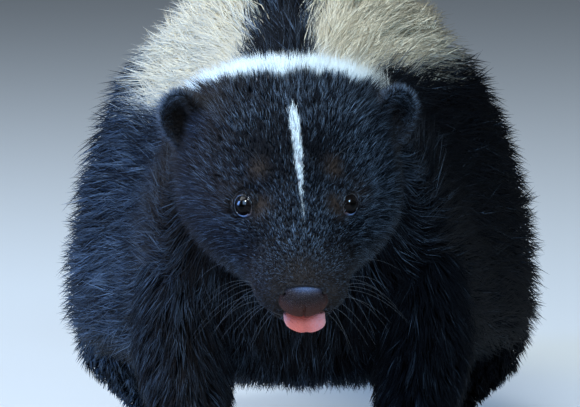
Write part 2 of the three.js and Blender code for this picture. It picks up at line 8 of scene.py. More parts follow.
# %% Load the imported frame
import math

import bpy
import numpy as np
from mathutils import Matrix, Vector
from mathutils.bvhtree import BVHTree


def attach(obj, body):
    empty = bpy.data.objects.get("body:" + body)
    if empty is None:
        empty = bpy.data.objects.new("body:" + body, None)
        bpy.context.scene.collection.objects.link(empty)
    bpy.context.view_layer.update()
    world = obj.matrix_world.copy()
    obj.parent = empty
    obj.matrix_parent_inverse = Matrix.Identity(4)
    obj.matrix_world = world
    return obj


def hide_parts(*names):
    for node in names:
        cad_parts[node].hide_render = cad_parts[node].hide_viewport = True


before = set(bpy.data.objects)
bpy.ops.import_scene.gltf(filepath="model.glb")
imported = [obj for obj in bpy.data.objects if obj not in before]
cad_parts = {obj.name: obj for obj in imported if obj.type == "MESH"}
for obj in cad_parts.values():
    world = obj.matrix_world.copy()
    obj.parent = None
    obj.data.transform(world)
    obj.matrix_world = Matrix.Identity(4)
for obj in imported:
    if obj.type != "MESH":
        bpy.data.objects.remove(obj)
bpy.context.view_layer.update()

# %% [markdown]
# ## The camera
# The photo was taken with a long lens from just above the animal's eyes. A long lens a good way off shows
# the head and the shoulders at nearly the same scale, so the camera stands two metres away and its lens
# is chosen to give the photo's scale at the eyes.

# %% Camera
HEAD_PLACE = np.array([-0.002, -0.264811, 0.113])  # midway between the eyes
CAMERA_TARGET = Vector((-0.004, HEAD_PLACE[1], HEAD_PLACE[2]))
CAMERA_DISTANCE = 2.0
CAMERA_ELEVATION = math.radians(6)
SENSOR = 36.0
LENS = 407.2  # gives 3.28 pixels to a millimetre at the eyes


def make_camera():
    """A camera on a circle round the target, looking at it along +Y and a little down."""
    data = bpy.data.cameras.new("camera")
    data.lens = LENS
    data.sensor_width = SENSOR
    data.sensor_fit = "HORIZONTAL"
    data.clip_start = 0.05
    data.clip_end = 30
    camera = bpy.data.objects.new("camera", data)
    away = Vector((0, -math.cos(CAMERA_ELEVATION), math.sin(CAMERA_ELEVATION)))
    camera.location = CAMERA_TARGET + CAMERA_DISTANCE * away
    camera.rotation_euler = (-away).to_track_quat("-Z", "Y").to_euler()
    bpy.context.scene.collection.objects.link(camera)
    bpy.context.scene.camera = camera
    print("camera at", [round(value, 3) for value in camera.location])


make_camera()

# %% [markdown]
# ## Stations
# A body like this can be sculpted, but sections at a few named places are easier to check against a
# photo. Each row below is a section, and a smooth curve through the rows fills the body in between. The
# rows are the outline at the tips of the coat, the same as the solids have, and the coat's depth under it.

# %% Neck and trunk
TRUNK = np.array([
    # distance behind the eyes, centre height and side, lean in degrees, half width, reach up and down,
    # fullness above and below, depth of the coat above, at the side and below
    [0.020, 0.117, -0.003, 34, 0.024, 0.021, 0.019, 2.2, 2.0, 0.005, 0.004, 0.004],
    [0.039, 0.121, -0.004, 27, 0.0345, 0.036, 0.042, 2.3, 2.0, 0.010, 0.007, 0.006],
    [0.057, 0.106, -0.0025, 14, 0.044, 0.048, 0.054, 2.2, 2.2, 0.014, 0.010, 0.009],
    [0.082, 0.090, -0.001, 5, 0.053, 0.065, 0.047, 2.1, 2.6, 0.017, 0.013, 0.011],
    [0.120, 0.076, 0, 0, 0.062, 0.086, 0.037, 2.0, 3.0, 0.019, 0.016, 0.011],
    [0.162, 0.066, 0, 0, 0.073, 0.104, 0.031, 2.0, 3.2, 0.021, 0.018, 0.010],
    [0.200, 0.062, 0, 0, 0.081, 0.115, 0.029, 2.0, 3.6, 0.022, 0.019, 0.010],
    [0.230, 0.061, 0, 0, 0.083, 0.117, 0.028, 2.0, 3.6, 0.022, 0.019, 0.010],
    [0.260, 0.064, 0, -3, 0.078, 0.107, 0.029, 2.0, 3.0, 0.021, 0.018, 0.010],
    [0.286, 0.076, 0, -10, 0.061, 0.077, 0.034, 2.0, 2.3, 0.018, 0.016, 0.011],
    [0.303, 0.090, 0, -20, 0.036, 0.043, 0.028, 2.0, 2.0, 0.013, 0.012, 0.009],
    [0.309, 0.097, 0, -25, 0.013, 0.017, 0.011, 2.0, 2.0, 0.006, 0.005, 0.004],
])

# %% Head
HEAD_PITCH, HEAD_YAW, HEAD_ROLL = 32, 5, 0.5  # degrees
HEAD = np.array([
    # distance behind the eyes along the head, height of the widest level, half width, top, bottom,
    # fullness above, depth of the coat
    [-0.0345, -0.0115, 0.0070, -0.0085, -0.0163, 2.2, 0.0005],
    [-0.0315, -0.0125, 0.0108, -0.0060, -0.0220, 2.3, 0.0006],
    [-0.0270, -0.0125, 0.0133, -0.0030, -0.0250, 2.25, 0.0007],
    [-0.0210, -0.0125, 0.0152, 0.0, -0.0265, 2.15, 0.0008],
    [-0.0140, -0.0125, 0.0174, 0.0030, -0.0280, 1.95, 0.0009],
    [-0.0070, -0.0120, 0.0210, 0.0062, -0.0295, 1.75, 0.0011],
    [0.0, -0.0120, 0.0252, 0.0095, -0.0310, 1.6, 0.0013],
    [0.0080, -0.0110, 0.0290, 0.0130, -0.0325, 1.8, 0.0016],
    [0.0180, -0.0090, 0.0318, 0.0168, -0.0340, 2.1, 0.0020],
    [0.0280, -0.0070, 0.0332, 0.0197, -0.0350, 2.3, 0.0024],
    [0.0380, -0.0070, 0.0338, 0.0210, -0.0360, 2.4, 0.0030],
    [0.0500, -0.0070, 0.0320, 0.0190, -0.0350, 2.3, 0.0045],
    [0.0600, -0.0070, 0.0260, 0.0120, -0.0300, 2.2, 0.0060],
])
HEAD_FORMS = np.array([
    # eye socket, brow, cheek, whisker pad: distance back, side, up, spread, height
    [-0.001, 0.016, 0.001, 0.0055, -0.0013],
    [0.007, 0.012, 0.010, 0.006, 0.0011],
    [0.014, 0.029, -0.013, 0.010, 0.0012],
    [-0.027, 0.012, -0.014, 0.0055, 0.0012],
])

# %% Tail and legs
TAIL = np.array([
    # distance behind the eyes, height, radius at the tips of the hair, radius under the hair
    [0.290, 0.106, 0.017, 0.009],
    [0.312, 0.112, 0.021, 0.009],
    [0.345, 0.116, 0.028, 0.008],
    [0.385, 0.110, 0.035, 0.007],
    [0.430, 0.093, 0.040, 0.006],
    [0.472, 0.073, 0.040, 0.005],
    [0.508, 0.059, 0.035, 0.004],
    [0.535, 0.052, 0.025, 0.003],
    [0.551, 0.049, 0.013, 0.001],
    [0.556, 0.048, 0.004, 0.0005],
])
TAIL_BONE_END = 0.515
FORE_LEG = np.array([
    # side, distance behind the eyes, height, radius, depth of the coat
    [0.033, 0.080, 0.108, 0.009, 0.003],
    [0.036, 0.082, 0.082, 0.021, 0.009],
    [0.038, 0.080, 0.058, 0.021, 0.008],
    [0.035, 0.067, 0.036, 0.0165, 0.006],
    [0.0315, 0.057, 0.019, 0.013, 0.004],
    [0.031, 0.055, 0.008, 0.0115, 0.003],
])
HIND_LEG = np.array([
    [0.044, 0.230, 0.104, 0.012, 0.004],
    [0.050, 0.226, 0.078, 0.027, 0.011],
    [0.054, 0.225, 0.054, 0.029, 0.012],
    [0.0545, 0.238, 0.034, 0.028, 0.014],
    [0.048, 0.249, 0.018, 0.0185, 0.009],
    [0.045, 0.250, 0.008, 0.0115, 0.003],
])
LEG_FLATNESS = 0.86
print("stations: trunk", len(TRUNK), "head", len(HEAD), "tail", len(TAIL), "each leg", len(FORE_LEG))

# %% [markdown]
# ## From stations to surfaces
# A surface here is a function of two parameters: how far along a part, and the angle round it. Both may
# be whole arrays, so one call gives a grid for a mesh, or the place of every hair at once.

# %% Smooth values between stations
def through(stations, at):
    """The stations' columns at distances `at` along their first column: between two rows a cubic whose
    slope at each row is that of the chord from the row before to the row after."""
    x = stations[:, 0]
    before = np.maximum(np.arange(len(x)) - 1, 0)
    after = np.minimum(np.arange(len(x)) + 1, len(x) - 1)
    slopes = (stations[after] - stations[before]) / (x[after] - x[before])[:, None]
    at = np.clip(np.asarray(at, float), x[0], x[-1])
    i = np.clip(np.searchsorted(x, at) - 1, 0, len(x) - 2)
    span = (x[i + 1] - x[i])[..., None]
    t = (at[..., None] - stations[i, :1]) / span
    smooth = t * t * (3 - 2 * t)
    value = stations[i] * (1 - smooth) + stations[i + 1] * smooth
    value += span * t * (1 - t) * ((1 - t) * slopes[i] - t * slopes[i + 1])
    return np.moveaxis(value[..., 1:], -1, 0)


def ring(angle, half, up, down, full_up, full_down):
    """A superellipse by its polar angle: the radius is where (across/half)^full + (rise/reach)^full is 1,
    so the points move evenly past the middle lines, where hair must not show a seam."""
    c, s = np.cos(angle), np.sin(angle)
    full = np.where(s > 0, full_up, full_down)
    reach = np.where(s > 0, up, down)
    radius = (np.abs(c / half) ** full + np.abs(s / reach) ** full) ** (-1 / full)
    return radius * c, radius * s


def norm(vectors):
    """The vectors' lengths."""
    return np.linalg.norm(vectors, axis=-1)


def unit(vectors):
    """The vectors at length 1."""
    return vectors / np.maximum(norm(vectors)[..., None], 1e-12)


def dot(first, second):
    """The dot products of two lists of vectors: the sum of x * x, y * y and z * z."""
    return (first * second).sum(-1)


def smoothstep(low, high, value):
    """0 below `low`, 1 above `high` and a smooth rise between."""
    t = np.clip((value - low) / (high - low), 0, 1)
    return t * t * (3 - 2 * t)


def bell(distance, width, power=2):
    """1 at the middle and 0 far from it: e to the power of -(distance / width)^power."""
    return np.exp(-((distance / width) ** power))


def even(value):
    """A function of place that is the same all over a part."""
    return lambda points: np.full(points.shape[:-1], value)


# %% The head's own frame
def turn(axis, degrees):
    """A rotation matrix about one of the three axes."""
    i, j = [(1, 2), (2, 0), (0, 1)][axis]
    matrix = np.eye(3)
    angle = math.radians(degrees)
    matrix[i, i] = matrix[j, j] = math.cos(angle)
    matrix[j, i] = math.sin(angle)
    matrix[i, j] = -math.sin(angle)
    return matrix


HEAD_TURN = turn(2, HEAD_YAW) @ turn(0, HEAD_PITCH) @ turn(1, -HEAD_ROLL)


def from_head(points):
    """Head coordinates (side, back, up) to the model's frame."""
    return points @ HEAD_TURN.T + HEAD_PLACE


def to_head(points):
    """The model's frame to head coordinates."""
    return (points - HEAD_PLACE) @ HEAD_TURN


def mirrored(local):
    """Head coordinates with the right side laid on the left one."""
    return np.concatenate([np.abs(local[..., :1]), local[..., 1:]], -1)


def behind_eyes(points):
    """Distance behind the eyes along the body."""
    return points[..., 1] - HEAD_PLACE[1]


# %% Outlines of trunk, head, tail and legs
def trunk_outline(at, angle):
    """Tips of the coat on neck and trunk: a superellipse at each distance behind the eyes, leaned back."""
    z, x, lean, half, up, down, full_up, full_down, *_ = through(TRUNK, at)
    across, rise = ring(angle, half, up, down, full_up, full_down)
    lean = np.radians(lean)
    y = np.clip(at, TRUNK[0, 0], TRUNK[-1, 0]) + HEAD_PLACE[1] - rise * np.sin(lean)
    return np.stack([x + across, y, z + rise * np.cos(lean)], -1)


def trunk_depth(at, angle):
    """Depth of the coat: the side's value, moved towards those above and below with the angle's sine."""
    *_, above, beside, below = through(TRUNK, at)
    s = np.sin(angle)
    return beside + (np.where(s > 0, above, below) - beside) * s * s


def head_outline(back, angle):
    """Tips of the coat on the head, in head coordinates: superellipses with mounds and hollows added, each
    a bell curve of the distance from its middle, along the section's own radius."""
    wide, half, top, bottom, full, _ = through(HEAD, back)
    side, rise = ring(angle, half, top - wide, wide - bottom, full, 2.0)
    points = np.stack([side, np.clip(back, HEAD[0, 0], HEAD[-1, 0]), wide + rise], -1)
    outward = unit(np.stack([side, 0 * side, rise], -1))
    mirror = np.where(side < 0, -1, 1)
    for form_back, form_side, form_up, spread, height in HEAD_FORMS:
        middle = np.stack([mirror * form_side, form_back + 0 * side, form_up + 0 * side], -1)
        points = points + outward * (height * bell(norm(points - middle), spread))[..., None]
    return points


def head_depth(back, angle):
    """Depth of the coat on the head, twice as deep on the cheeks and throat as on the crown."""
    return through(HEAD, back)[-1] * (1 + smoothstep(0.3, -0.6, np.sin(angle)))


def normals(shape, u, v):
    """Outward unit normals: the cross product of small steps along and round a surface."""
    du, dv = 0.0003, 0.01
    along = shape(u + du, v) - shape(u - du, v)
    around = shape(u, v + dv) - shape(u, v - dv)
    return unit(np.cross(along, around))


def trunk(u, v, level):
    """A point of neck or trunk: `level` 0 is on the skin and 1 at the tips of the coat."""
    sunk = (1 - level) * trunk_depth(u, v)
    return trunk_outline(u, v) - sunk[..., None] * normals(trunk_outline, u, v)


def head_local(u, v, level):
    """A point of the head in its own frame, from the skin at level 0 to the coat's tips at level 1."""
    sunk = (1 - level) * head_depth(u, v)
    return head_outline(u, v) - sunk[..., None] * normals(head_outline, u, v)


def head(u, v, level):
    """A point of the head in the model's frame, moved as the lids move the skin under it."""
    base = head_local(u, v, 0 * u)
    return from_head(head_local(u, v, level) + add_lids(base) - base)


def tail(u, v, level):
    """A point of the tail: rings square to its path, from the skin's radius to the hair's radius."""
    z, radius, core = through(TAIL, u)
    step = 0.001
    lean = np.arctan((through(TAIL, u + step)[0] - through(TAIL, u - step)[0]) / (2 * step))
    reach = core + level * (radius - core)
    across, rise = 0.95 * reach * np.cos(v), reach * np.sin(v) * np.where(np.sin(v) > 0, 1, 1.05)
    y = np.clip(u, TAIL[0, 0], TAIL[-1, 0]) + HEAD_PLACE[1] - rise * np.sin(lean)
    return np.stack([across, y, z + rise * np.cos(lean)], -1)


def leg(joints, mirror):
    """The surface of one leg: level rings round a line through its joints, u from 0 at the top to 1."""
    rows = np.column_stack([np.linspace(0, 1, len(joints)), joints])

    def surface(u, v, level):
        side, back, height, radius, depth = through(rows, u)
        reach = radius - (1 - level) * depth
        x = mirror * side + mirror * LEG_FLATNESS * reach * np.cos(v)
        return np.stack([x, back + HEAD_PLACE[1] + reach * np.sin(v), height + 0 * v], -1)

    return surface


# %% [markdown]
# ## Grids into meshes
# A grid of points is turned into quads, with a fan of triangles over each end, so every surface is
# closed. Rows lie closer together where there is more to show, such as round the eyes.

# %% Mesh helpers
SIDES = (("left", 1), ("right", -1))


def grid(u, v):
    """All pairs of two lists of parameters, as two arrays of rows by columns."""
    return np.meshgrid(u, v, indexing="ij")


def around(count):
    """`count` angles once round, without the end that would repeat the start."""
    return np.linspace(0, 2 * np.pi, count, endpoint=False)


def spaced(low, high, count, density):
    """`count` values from low to high, closest together where density(value) is high: equal steps of the
    density's running sum."""
    t = np.linspace(low, high, 4001)
    total = np.concatenate([[0], np.cumsum(density(t[:-1]) + density(t[1:]))])
    return np.interp(np.linspace(0, total[-1], count), total, t)


def link(mesh, name):
    """A new object that shows the mesh."""
    made = bpy.data.objects.new(name, mesh)
    bpy.context.scene.collection.objects.link(made)
    return made


def triangle_mesh(name, points, triangles, smooth=True):
    """A mesh from whole arrays of points and triangles."""
    mesh = bpy.data.meshes.new(name)
    mesh.vertices.add(len(points))
    mesh.vertices.foreach_set("co", points.astype(np.float32).ravel())
    mesh.loops.add(3 * len(triangles))
    mesh.loops.foreach_set("vertex_index", triangles.astype(np.int32).ravel())
    mesh.polygons.add(len(triangles))
    mesh.polygons.foreach_set("loop_start", np.arange(0, 3 * len(triangles), 3, dtype=np.int32))
    mesh.update(calc_edges=True)
    mesh.polygons.foreach_set("use_smooth", np.full(len(triangles), smooth))
    return mesh


def mesh_points(mesh):
    """The places of a mesh's points, as an array."""
    points = np.empty(3 * len(mesh.vertices), np.float32)
    mesh.vertices.foreach_get("co", points)
    return points.reshape(-1, 3).astype(float)


def set_colours(mesh, name, values):
    """Keeps four values for each point of a mesh as an attribute, for its material to read."""
    attribute = mesh.attributes.new(name, "FLOAT_COLOR", "POINT")
    attribute.data.foreach_set("color", values.astype(np.float32).ravel())


def quads(a, b, c, d):
    """Two triangles for each four corners, which are given in order round the quad."""
    return np.concatenate([np.stack([a, b, c], -1).reshape(-1, 3), np.stack([a, c, d], -1).reshape(-1, 3)])


def closed_grid(points):
    """Triangles over a grid of rings (rows, columns, 3), with a fan to a middle point at both ends. Faces
    point outwards when rows run along +u and columns turn as the angle does."""
    rows, columns = points.shape[:2]
    index = np.arange(rows * columns).reshape(rows, columns)
    ahead = np.roll(index, -1, axis=1)
    walls = quads(index[:-1], index[1:], ahead[1:], ahead[:-1])
    first, last = rows * columns, rows * columns + 1
    start = np.stack([np.full(columns, first), index[0], ahead[0]], -1)
    end = np.stack([np.full(columns, last), ahead[-1], index[-1]], -1)
    every = np.concatenate([points.reshape(-1, 3), [points[0].mean(0)], [points[-1].mean(0)]])
    return every, np.concatenate([walls, start, end])


def join_shells(shells):
    """Several (points, triangles) shells as one."""
    offsets = np.cumsum([0] + [len(points) for points, _ in shells[:-1]])
    points = np.concatenate([points for points, _ in shells])
    return points, np.concatenate([faces + offset for (_, faces), offset in zip(shells, offsets)])


def volume(points, triangles):
    """Signed volume of a closed shell, positive when its faces point outwards."""
    a, b, c = points[triangles[:, 0]], points[triangles[:, 1]], points[triangles[:, 2]]
    return float((a * np.cross(b, c)).sum() / 6)


def outwards(points, triangles):
    """The same shell with its faces turned if they pointed inwards."""
    return (points, triangles) if volume(points, triangles) > 0 else (points, triangles[:, ::-1])


def loft(surface, u, v, level=0.0):
    """A closed shell over a surface function on the grid of u by v."""
    grid_u, grid_v = grid(u, v)
    return outwards(*closed_grid(surface(grid_u, grid_v, level + 0 * grid_u)))


# %% [markdown]
# ## Materials from nodes
# A material is a small graph: nodes that read a point's colour or make a pattern, and a shader at the end.
# It can be drawn by hand in the shader editor. As a script, one helper that makes a node and feeds its
# inputs keeps each finish to a few lines.

# %% A material and its nodes
class Finish:
    """A new material with its nodes and its shader."""

    def __init__(self, name):
        self.material = bpy.data.materials.new(name)
        self.material.use_nodes = True
        self.tree = self.material.node_tree
        self.shader = self.tree.nodes["Principled BSDF"]

    def feed(self, node, inputs):
        """Links each input that is given a socket, and sets the others to their number or colour."""
        for key, value in inputs.items():
            if isinstance(value, bpy.types.NodeSocket):
                self.tree.links.new(value, node.inputs[key])
            else:
                node.inputs[key].default_value = (*value, 1) if isinstance(value, tuple) else value

    def add(self, kind, inputs=None, **settings):
        """A new node with its settings and inputs."""
        node = self.tree.nodes.new("ShaderNode" + kind)
        for key, value in settings.items():
            setattr(node, key, value)
        self.feed(node, inputs or {})
        return node

    def mix(self, share, first, second):
        """Between two colours by a share."""
        return self.add("Mix", {0: share, 6: first, 7: second}, data_type="RGBA").outputs[2]

    def stretch(self, value, low, high, out_low=0.0, out_high=1.0):
        """A value's range from low to high made another range."""
        ranges = {"Value": value, "From Min": low, "From Max": high, "To Min": out_low, "To Max": out_high}
        return self.add("MapRange", ranges).outputs["Result"]

    def place(self):
        """Where a point is in the model."""
        return self.add("TexCoord").outputs["Object"]


# %% [markdown]
# ## Studio
# A pale floor that curves up into a pale backdrop, and soft lamps: a small cool one high in front, a large
# bluish one for the sky, a second bluish one that gives the eyes their glint, a wide one overhead that
# lights the nape and the back, and a blue one on the animal's right. The flank on its left has none of
# its own, because in the photo it lies in the shade.

# %% Floor, lamps and world
BACKDROP = (0.62, 0.63, 0.62)
WORLD, WORLD_STRENGTH = (0.75, 0.82, 0.9, 1), 0.07
HEAD_AIM, BODY_AIM = (0, -0.26, 0.12), (0, -0.05, 0.1)
LAMPS = [
    # name, place, the point it faces, size, power, colour
    ("key", (-0.22, -1.10, 1.50), HEAD_AIM, 0.26, 15, (0.88, 0.95, 1.0)),
    ("sky", (-0.50, -1.15, 0.80), HEAD_AIM, 1.0, 10, (0.33, 0.60, 1.0)),
    ("glint", (0.66, -1.10, 0.85), HEAD_AIM, 0.42, 10, (0.46, 0.72, 1.0)),
    ("overhead", (-0.65, 0.20, 1.35), BODY_AIM, 1.0, 21, (0.86, 0.95, 1.0)),
    ("right_side", (-1.5, -0.05, 0.50), BODY_AIM, 0.8, 22, (0.20, 0.42, 1.0)),
]


def make_floor():
    """A strip with a rounded bend: level up to a distance behind the model, then an arc, then upright."""
    flat, bend, wall, half = 14.0, 1.0, 3.0, 14.0
    arc = np.linspace(0, np.pi / 2, 24)
    profile_y = np.concatenate([[-half], flat + bend * np.sin(arc), [flat + bend]])
    profile_z = np.concatenate([[0.0], bend * (1 - np.cos(arc)), [wall]])
    left = np.stack([np.full_like(profile_y, -half), profile_y, profile_z], -1)
    points = np.stack([left, left * [-1, 1, 1]], 1).reshape(-1, 3)
    strips = [(2 * i, 2 * i + 1, 2 * i + 3, 2 * i + 2) for i in range(len(profile_y) - 1)]
    mesh = bpy.data.meshes.new("floor")
    mesh.from_pydata(points, [], strips)
    mesh.shade_smooth()
    floor = link(mesh, "floor")
    paper = Finish("floor_paper")
    paper.feed(paper.shader, {"Base Color": BACKDROP, "Roughness": 0.9})
    mesh.materials.append(paper.material)


def make_lamp(name, place, aim, size, power, colour):
    """A square area lamp at a place, turned to face a point."""
    data = bpy.data.lights.new(name, "AREA")
    data.size = size
    data.energy = power
    data.color = colour
    lamp = bpy.data.objects.new(name, data)
    lamp.location = place
    lamp.rotation_euler = (Vector(aim) - Vector(place)).to_track_quat("-Z", "Y").to_euler()
    bpy.context.scene.collection.objects.link(lamp)


def make_studio():
    """The lamps, a dim even world and the plain colour transform."""
    for lamp in LAMPS:
        make_lamp(*lamp)
    world = bpy.data.worlds.new("world")
    world.use_nodes = True
    background = world.node_tree.nodes["Background"]
    background.inputs["Color"].default_value = WORLD
    background.inputs["Strength"].default_value = WORLD_STRENGTH
    bpy.context.scene.world = world
    bpy.context.scene.view_settings.view_transform = "Standard"


make_floor()
make_studio()

# %% [markdown]
# ## The skin
# Head, trunk, legs, feet and tail are lofted apart and then made one skin. A voxel remesh melts trunk,
# legs and tail together with soft hollows between them, which suits flesh. It would lose lids and lips,
# so the head keeps its own grid and is joined to the rest by a boolean union at the neck, under the
# longest hair of the nape.

# %% Eyes and their lids
EYE_SPACING = 0.032
EYE_BACK = -0.0008
EYEBALL_RADIUS = 0.0043
EYE_SINK = 0.0025
GAZE = unit(np.array([0.6, -0.6, 0.45]))
TO_INNER_CORNER = np.array([-0.55, -0.62, -0.42])
LID_OPENING = (0.88, 0.80)  # half angles of the opening, along its corners and across, in radians
LID_ROUNDNESS = 1.8
LID_THICKNESS = 0.00045
LID_REACH = 2.6  # how far out the lids move the skin, as a share of the opening
RIM_HEIGHT, FOLD_DEPTH = 0.00022, 0.0003
BEHIND_LIDS = 0.0009  # how far inside the eyeball the skin lies in the opening
CREASE_SHARPNESS = 2500.0  # of the bend where the lids leave the eyeball, for each metre


def eye_frame(mirror):
    """Centre of an eyeball and its axes in head coordinates: towards the inner corner, up and gaze."""
    angles = np.linspace(0, np.pi / 2, 2001)
    outline = head_outline(np.full_like(angles, EYE_BACK), angles)
    nearest = np.argmin(np.abs(outline[:, 0] - EYE_SPACING / 2))
    centre = outline[nearest] - EYE_SINK * GAZE
    inner = unit(TO_INNER_CORNER - GAZE * (TO_INNER_CORNER @ GAZE))
    upper = np.cross(inner, GAZE)
    upper = upper * np.sign(upper[2])
    return centre * [mirror, 1, 1], np.stack([inner, upper, GAZE]) * [mirror, 1, 1]


def lid_edge(polar):
    """Half angle of the lids' opening by its direction: a rounded almond with a drawn-out inner corner."""
    c, s = np.abs(np.cos(polar)) / LID_OPENING[0], np.abs(np.sin(polar)) / LID_OPENING[1]
    almond = (c ** LID_ROUNDNESS + s ** LID_ROUNDNESS) ** (-1 / LID_ROUNDNESS)
    return almond * (1 + 0.10 * bell(polar, 0.35))


def lid_share(points, mirror):
    """How far points are from the gaze, as a share of the lids' opening in their direction, with the
    distance from the eye's centre."""
    centre, axes = eye_frame(mirror)
    x, y, z = np.moveaxis(unit(points - centre) @ axes.T, -1, 0)
    return np.arccos(np.clip(z, -1, 1)) / lid_edge(np.arctan2(y, x)), norm(points - centre)


def add_lids(points):
    """Skin round the eyes: outside the opening it is lifted over the eyeball, by a soft maximum of its own
    distance and the lid's, with a raised rim and a fold beyond it. In the opening it drops behind the
    eyeball."""
    hug = EYEBALL_RADIUS + LID_THICKNESS
    for _, mirror in SIDES:
        centre, _ = eye_frame(mirror)
        share, distance = lid_share(points, mirror)
        close = smoothstep(0.0075, 0.0055, distance)
        rim = RIM_HEIGHT * close * bell(share - 1.1, 0.09)
        fold = -FOLD_DEPTH * close * bell(share - 1.5, 0.12)
        soft = np.log(np.exp(CREASE_SHARPNESS * (distance - hug)) + 1) / CREASE_SHARPNESS
        lifted = soft + hug + rim + fold
        lifted = distance + (lifted - distance) * smoothstep(LID_REACH, 1.9, share)
        dropped = np.minimum(distance, EYEBALL_RADIUS - BEHIND_LIDS)
        wanted = dropped + (lifted - dropped) * smoothstep(0.9, 1.0, share)
        wanted = np.where(share < LID_REACH, wanted, distance)
        points = centre + unit(points - centre) * wanted[..., None]
    return points


print("left eye centre in head coordinates:", np.round(eye_frame(1)[0], 4))


# %% Head shell
EYE_ANGLE = math.radians(66)  # round the head, from its side


def dense_rows(back):
    """More rows at the eyes and at the end of the muzzle."""
    return 1 + 5 * bell(back - EYE_BACK, 0.007) + 2 * bell(back - HEAD[0, 0], 0.006)


def dense_columns(angle):
    """More columns at both eyes."""
    return 1 + 3 * sum(bell(angle - place, 0.4) for place in (EYE_ANGLE, math.pi - EYE_ANGLE))


def head_shell():
    """The head's skin on a grid, with its lids."""
    back = spaced(HEAD[0, 0], HEAD[-1, 0], 150, dense_rows)
    return loft(head, back, spaced(0, 2 * np.pi, 191, dense_columns)[:-1])


# %% Ears
EAR = {"back": 0.0372, "up": 0.0042, "side": 0.0308, "turn": 24, "lean": 14}
EAR_HALF, EAR_RISE = 0.0076, 0.0102
HOLLOW_DEPTH, BACK_DEPTH, RIM_FORWARD = 0.0044, 0.0060, 0.0016
EAR_COAT = 0.0013


def ear(mirror):
    """One ear as a surface: u from 0 in the middle of the hollow to 1 at the rim and 2 in the middle of
    the back, v round the flap. The hollow is a bowl and the back is a deeper one, so the flap thins
    towards its rim."""
    tilt = turn(2, mirror * EAR["turn"]) @ turn(1, mirror * EAR["lean"])
    place = np.array([mirror * EAR["side"], EAR["back"], EAR["up"]])

    def skin(u, v):
        spread = np.sin(np.clip(u, 0, 2) * np.pi / 2)
        reach = np.abs(spread) ** 0.8
        bowl = 1 - reach ** 2
        depth = np.where(u < 1, HOLLOW_DEPTH * bowl, BACK_DEPTH * bowl) - RIM_FORWARD
        across = EAR_HALF * reach * np.cos(v) * (0.8 + 0.2 * mirror * np.cos(v))
        local = np.stack([across, depth, EAR_RISE * reach * np.sin(v)], -1)
        return from_head(local @ tilt.T + place)

    def surface(u, v, level):
        return skin(u, v) + (level * EAR_COAT)[..., None] * ear_normals(skin, u, v)

    return surface


def ear_normals(shape, u, v):
    """Outward normals of an ear, whose first parameter has no unit of length."""
    step = 0.02
    along = shape(u + step, v) - shape(u - step, v)
    across = shape(u, v + step) - shape(u, v - step)
    return unit(np.cross(along, across))


def ear_shells():
    """Both ears, as closed shells."""
    return [loft(ear(mirror), np.linspace(0.04, 1.96, 40), around(48)) for _, mirror in SIDES]


# %% Feet
FORE_FOOT = {"side": 0.031, "toe": 0.028, "length": 0.034, "width": 0.027, "height": 0.017, "turn": 4}
HIND_FOOT = {"side": 0.045, "toe": 0.203, "length": 0.058, "width": 0.028, "height": 0.019, "turn": 8}
FOOT_COAT = 0.0012
SOLE = 0.0002  # just over the floor
TOE_PLACES = np.array([-2, -1, 0, 1, 2])
TOE_BACK = np.array([0.17, 0.05, 0, 0.04, 0.14])  # behind the longest toe, in widths of the foot
TOE_SPREAD = 0.208
TOE_HEIGHT = 0.0034


def foot_place(foot, mirror):
    """A function from a foot's own frame, toes along -Y, to the model's."""
    turned = turn(2, mirror * foot["turn"])
    place = np.array([mirror * foot["side"], foot["toe"] + foot["length"] / 2 + HEAD_PLACE[1], 0])
    return lambda points: points @ turned.T + place


def instep(foot, mirror):
    """Surface of sole and instep: ellipses along the foot, bowed out in plan and rising to the heel."""
    length, width, height = foot["length"], foot["width"], foot["height"]

    def surface(u, v, level):
        coat = (1 - level) * FOOT_COAT
        bow = np.sqrt(np.maximum(1 - ((u - 0.35) / 0.72) ** 2, 0.02))
        half = width / 2 * (1.02 - 0.26 * u) * np.minimum(1, bow * 1.15) - coat
        top = height * (0.62 + 0.38 * u) * bow - coat
        rise = 0.003 + np.where(np.sin(v) > 0, top, 0.005) * np.sin(v)
        points = np.stack([half * np.cos(v), length * (0.16 + 0.84 * u - 0.5) + 0 * v, rise], -1)
        points[..., 2] = np.maximum(points[..., 2], SOLE)
        return foot_place(foot, mirror)(points)

    return surface


def toe(foot, mirror, place, back):
    """Surface of one toe: a rounded finger, thickest behind its tip, flat where it stands."""
    width, length = foot["width"], foot["length"]

    def surface(u, v, level):
        radius = np.sqrt(np.clip(1 - (1 - np.clip(u / 0.4, 0, 1)) ** 2, 0.03, 1)) * (1 - 0.12 * u)
        radius = radius + level * FOOT_COAT / (0.12 * width)
        x = mirror * place * TOE_SPREAD * width + 0.105 * width * radius * np.cos(v)
        y = -length / 2 + back * width + 0.0006 + u * 0.5 * width
        z = TOE_HEIGHT + 0.0006 + 0.14 * width * radius * np.sin(v) + 0.003 * u
        return foot_place(foot, mirror)(np.stack([x, y + 0 * v, np.maximum(z, SOLE)], -1))

    return surface


def foot_shells():
    """Four feet with their toes."""
    shells = []
    for foot in (FORE_FOOT, HIND_FOOT):
        for _, mirror in SIDES:
            shells.append(loft(instep(foot, mirror), np.linspace(0, 1, 30), around(36)))
            shells += [loft(toe(foot, mirror, *one), np.linspace(0, 1, 14), around(16))
                       for one in zip(TOE_PLACES, TOE_BACK)]
    return shells


# %% Nose and mouth
NOSE = {"half": 0.0076, "deep": 0.0050, "high": 0.0050, "forward": 0.0326, "up": -0.0116, "taper": 0.16}
NOSE_MIDDLE = np.array([0, -NOSE["forward"] + 0.002, NOSE["up"]])


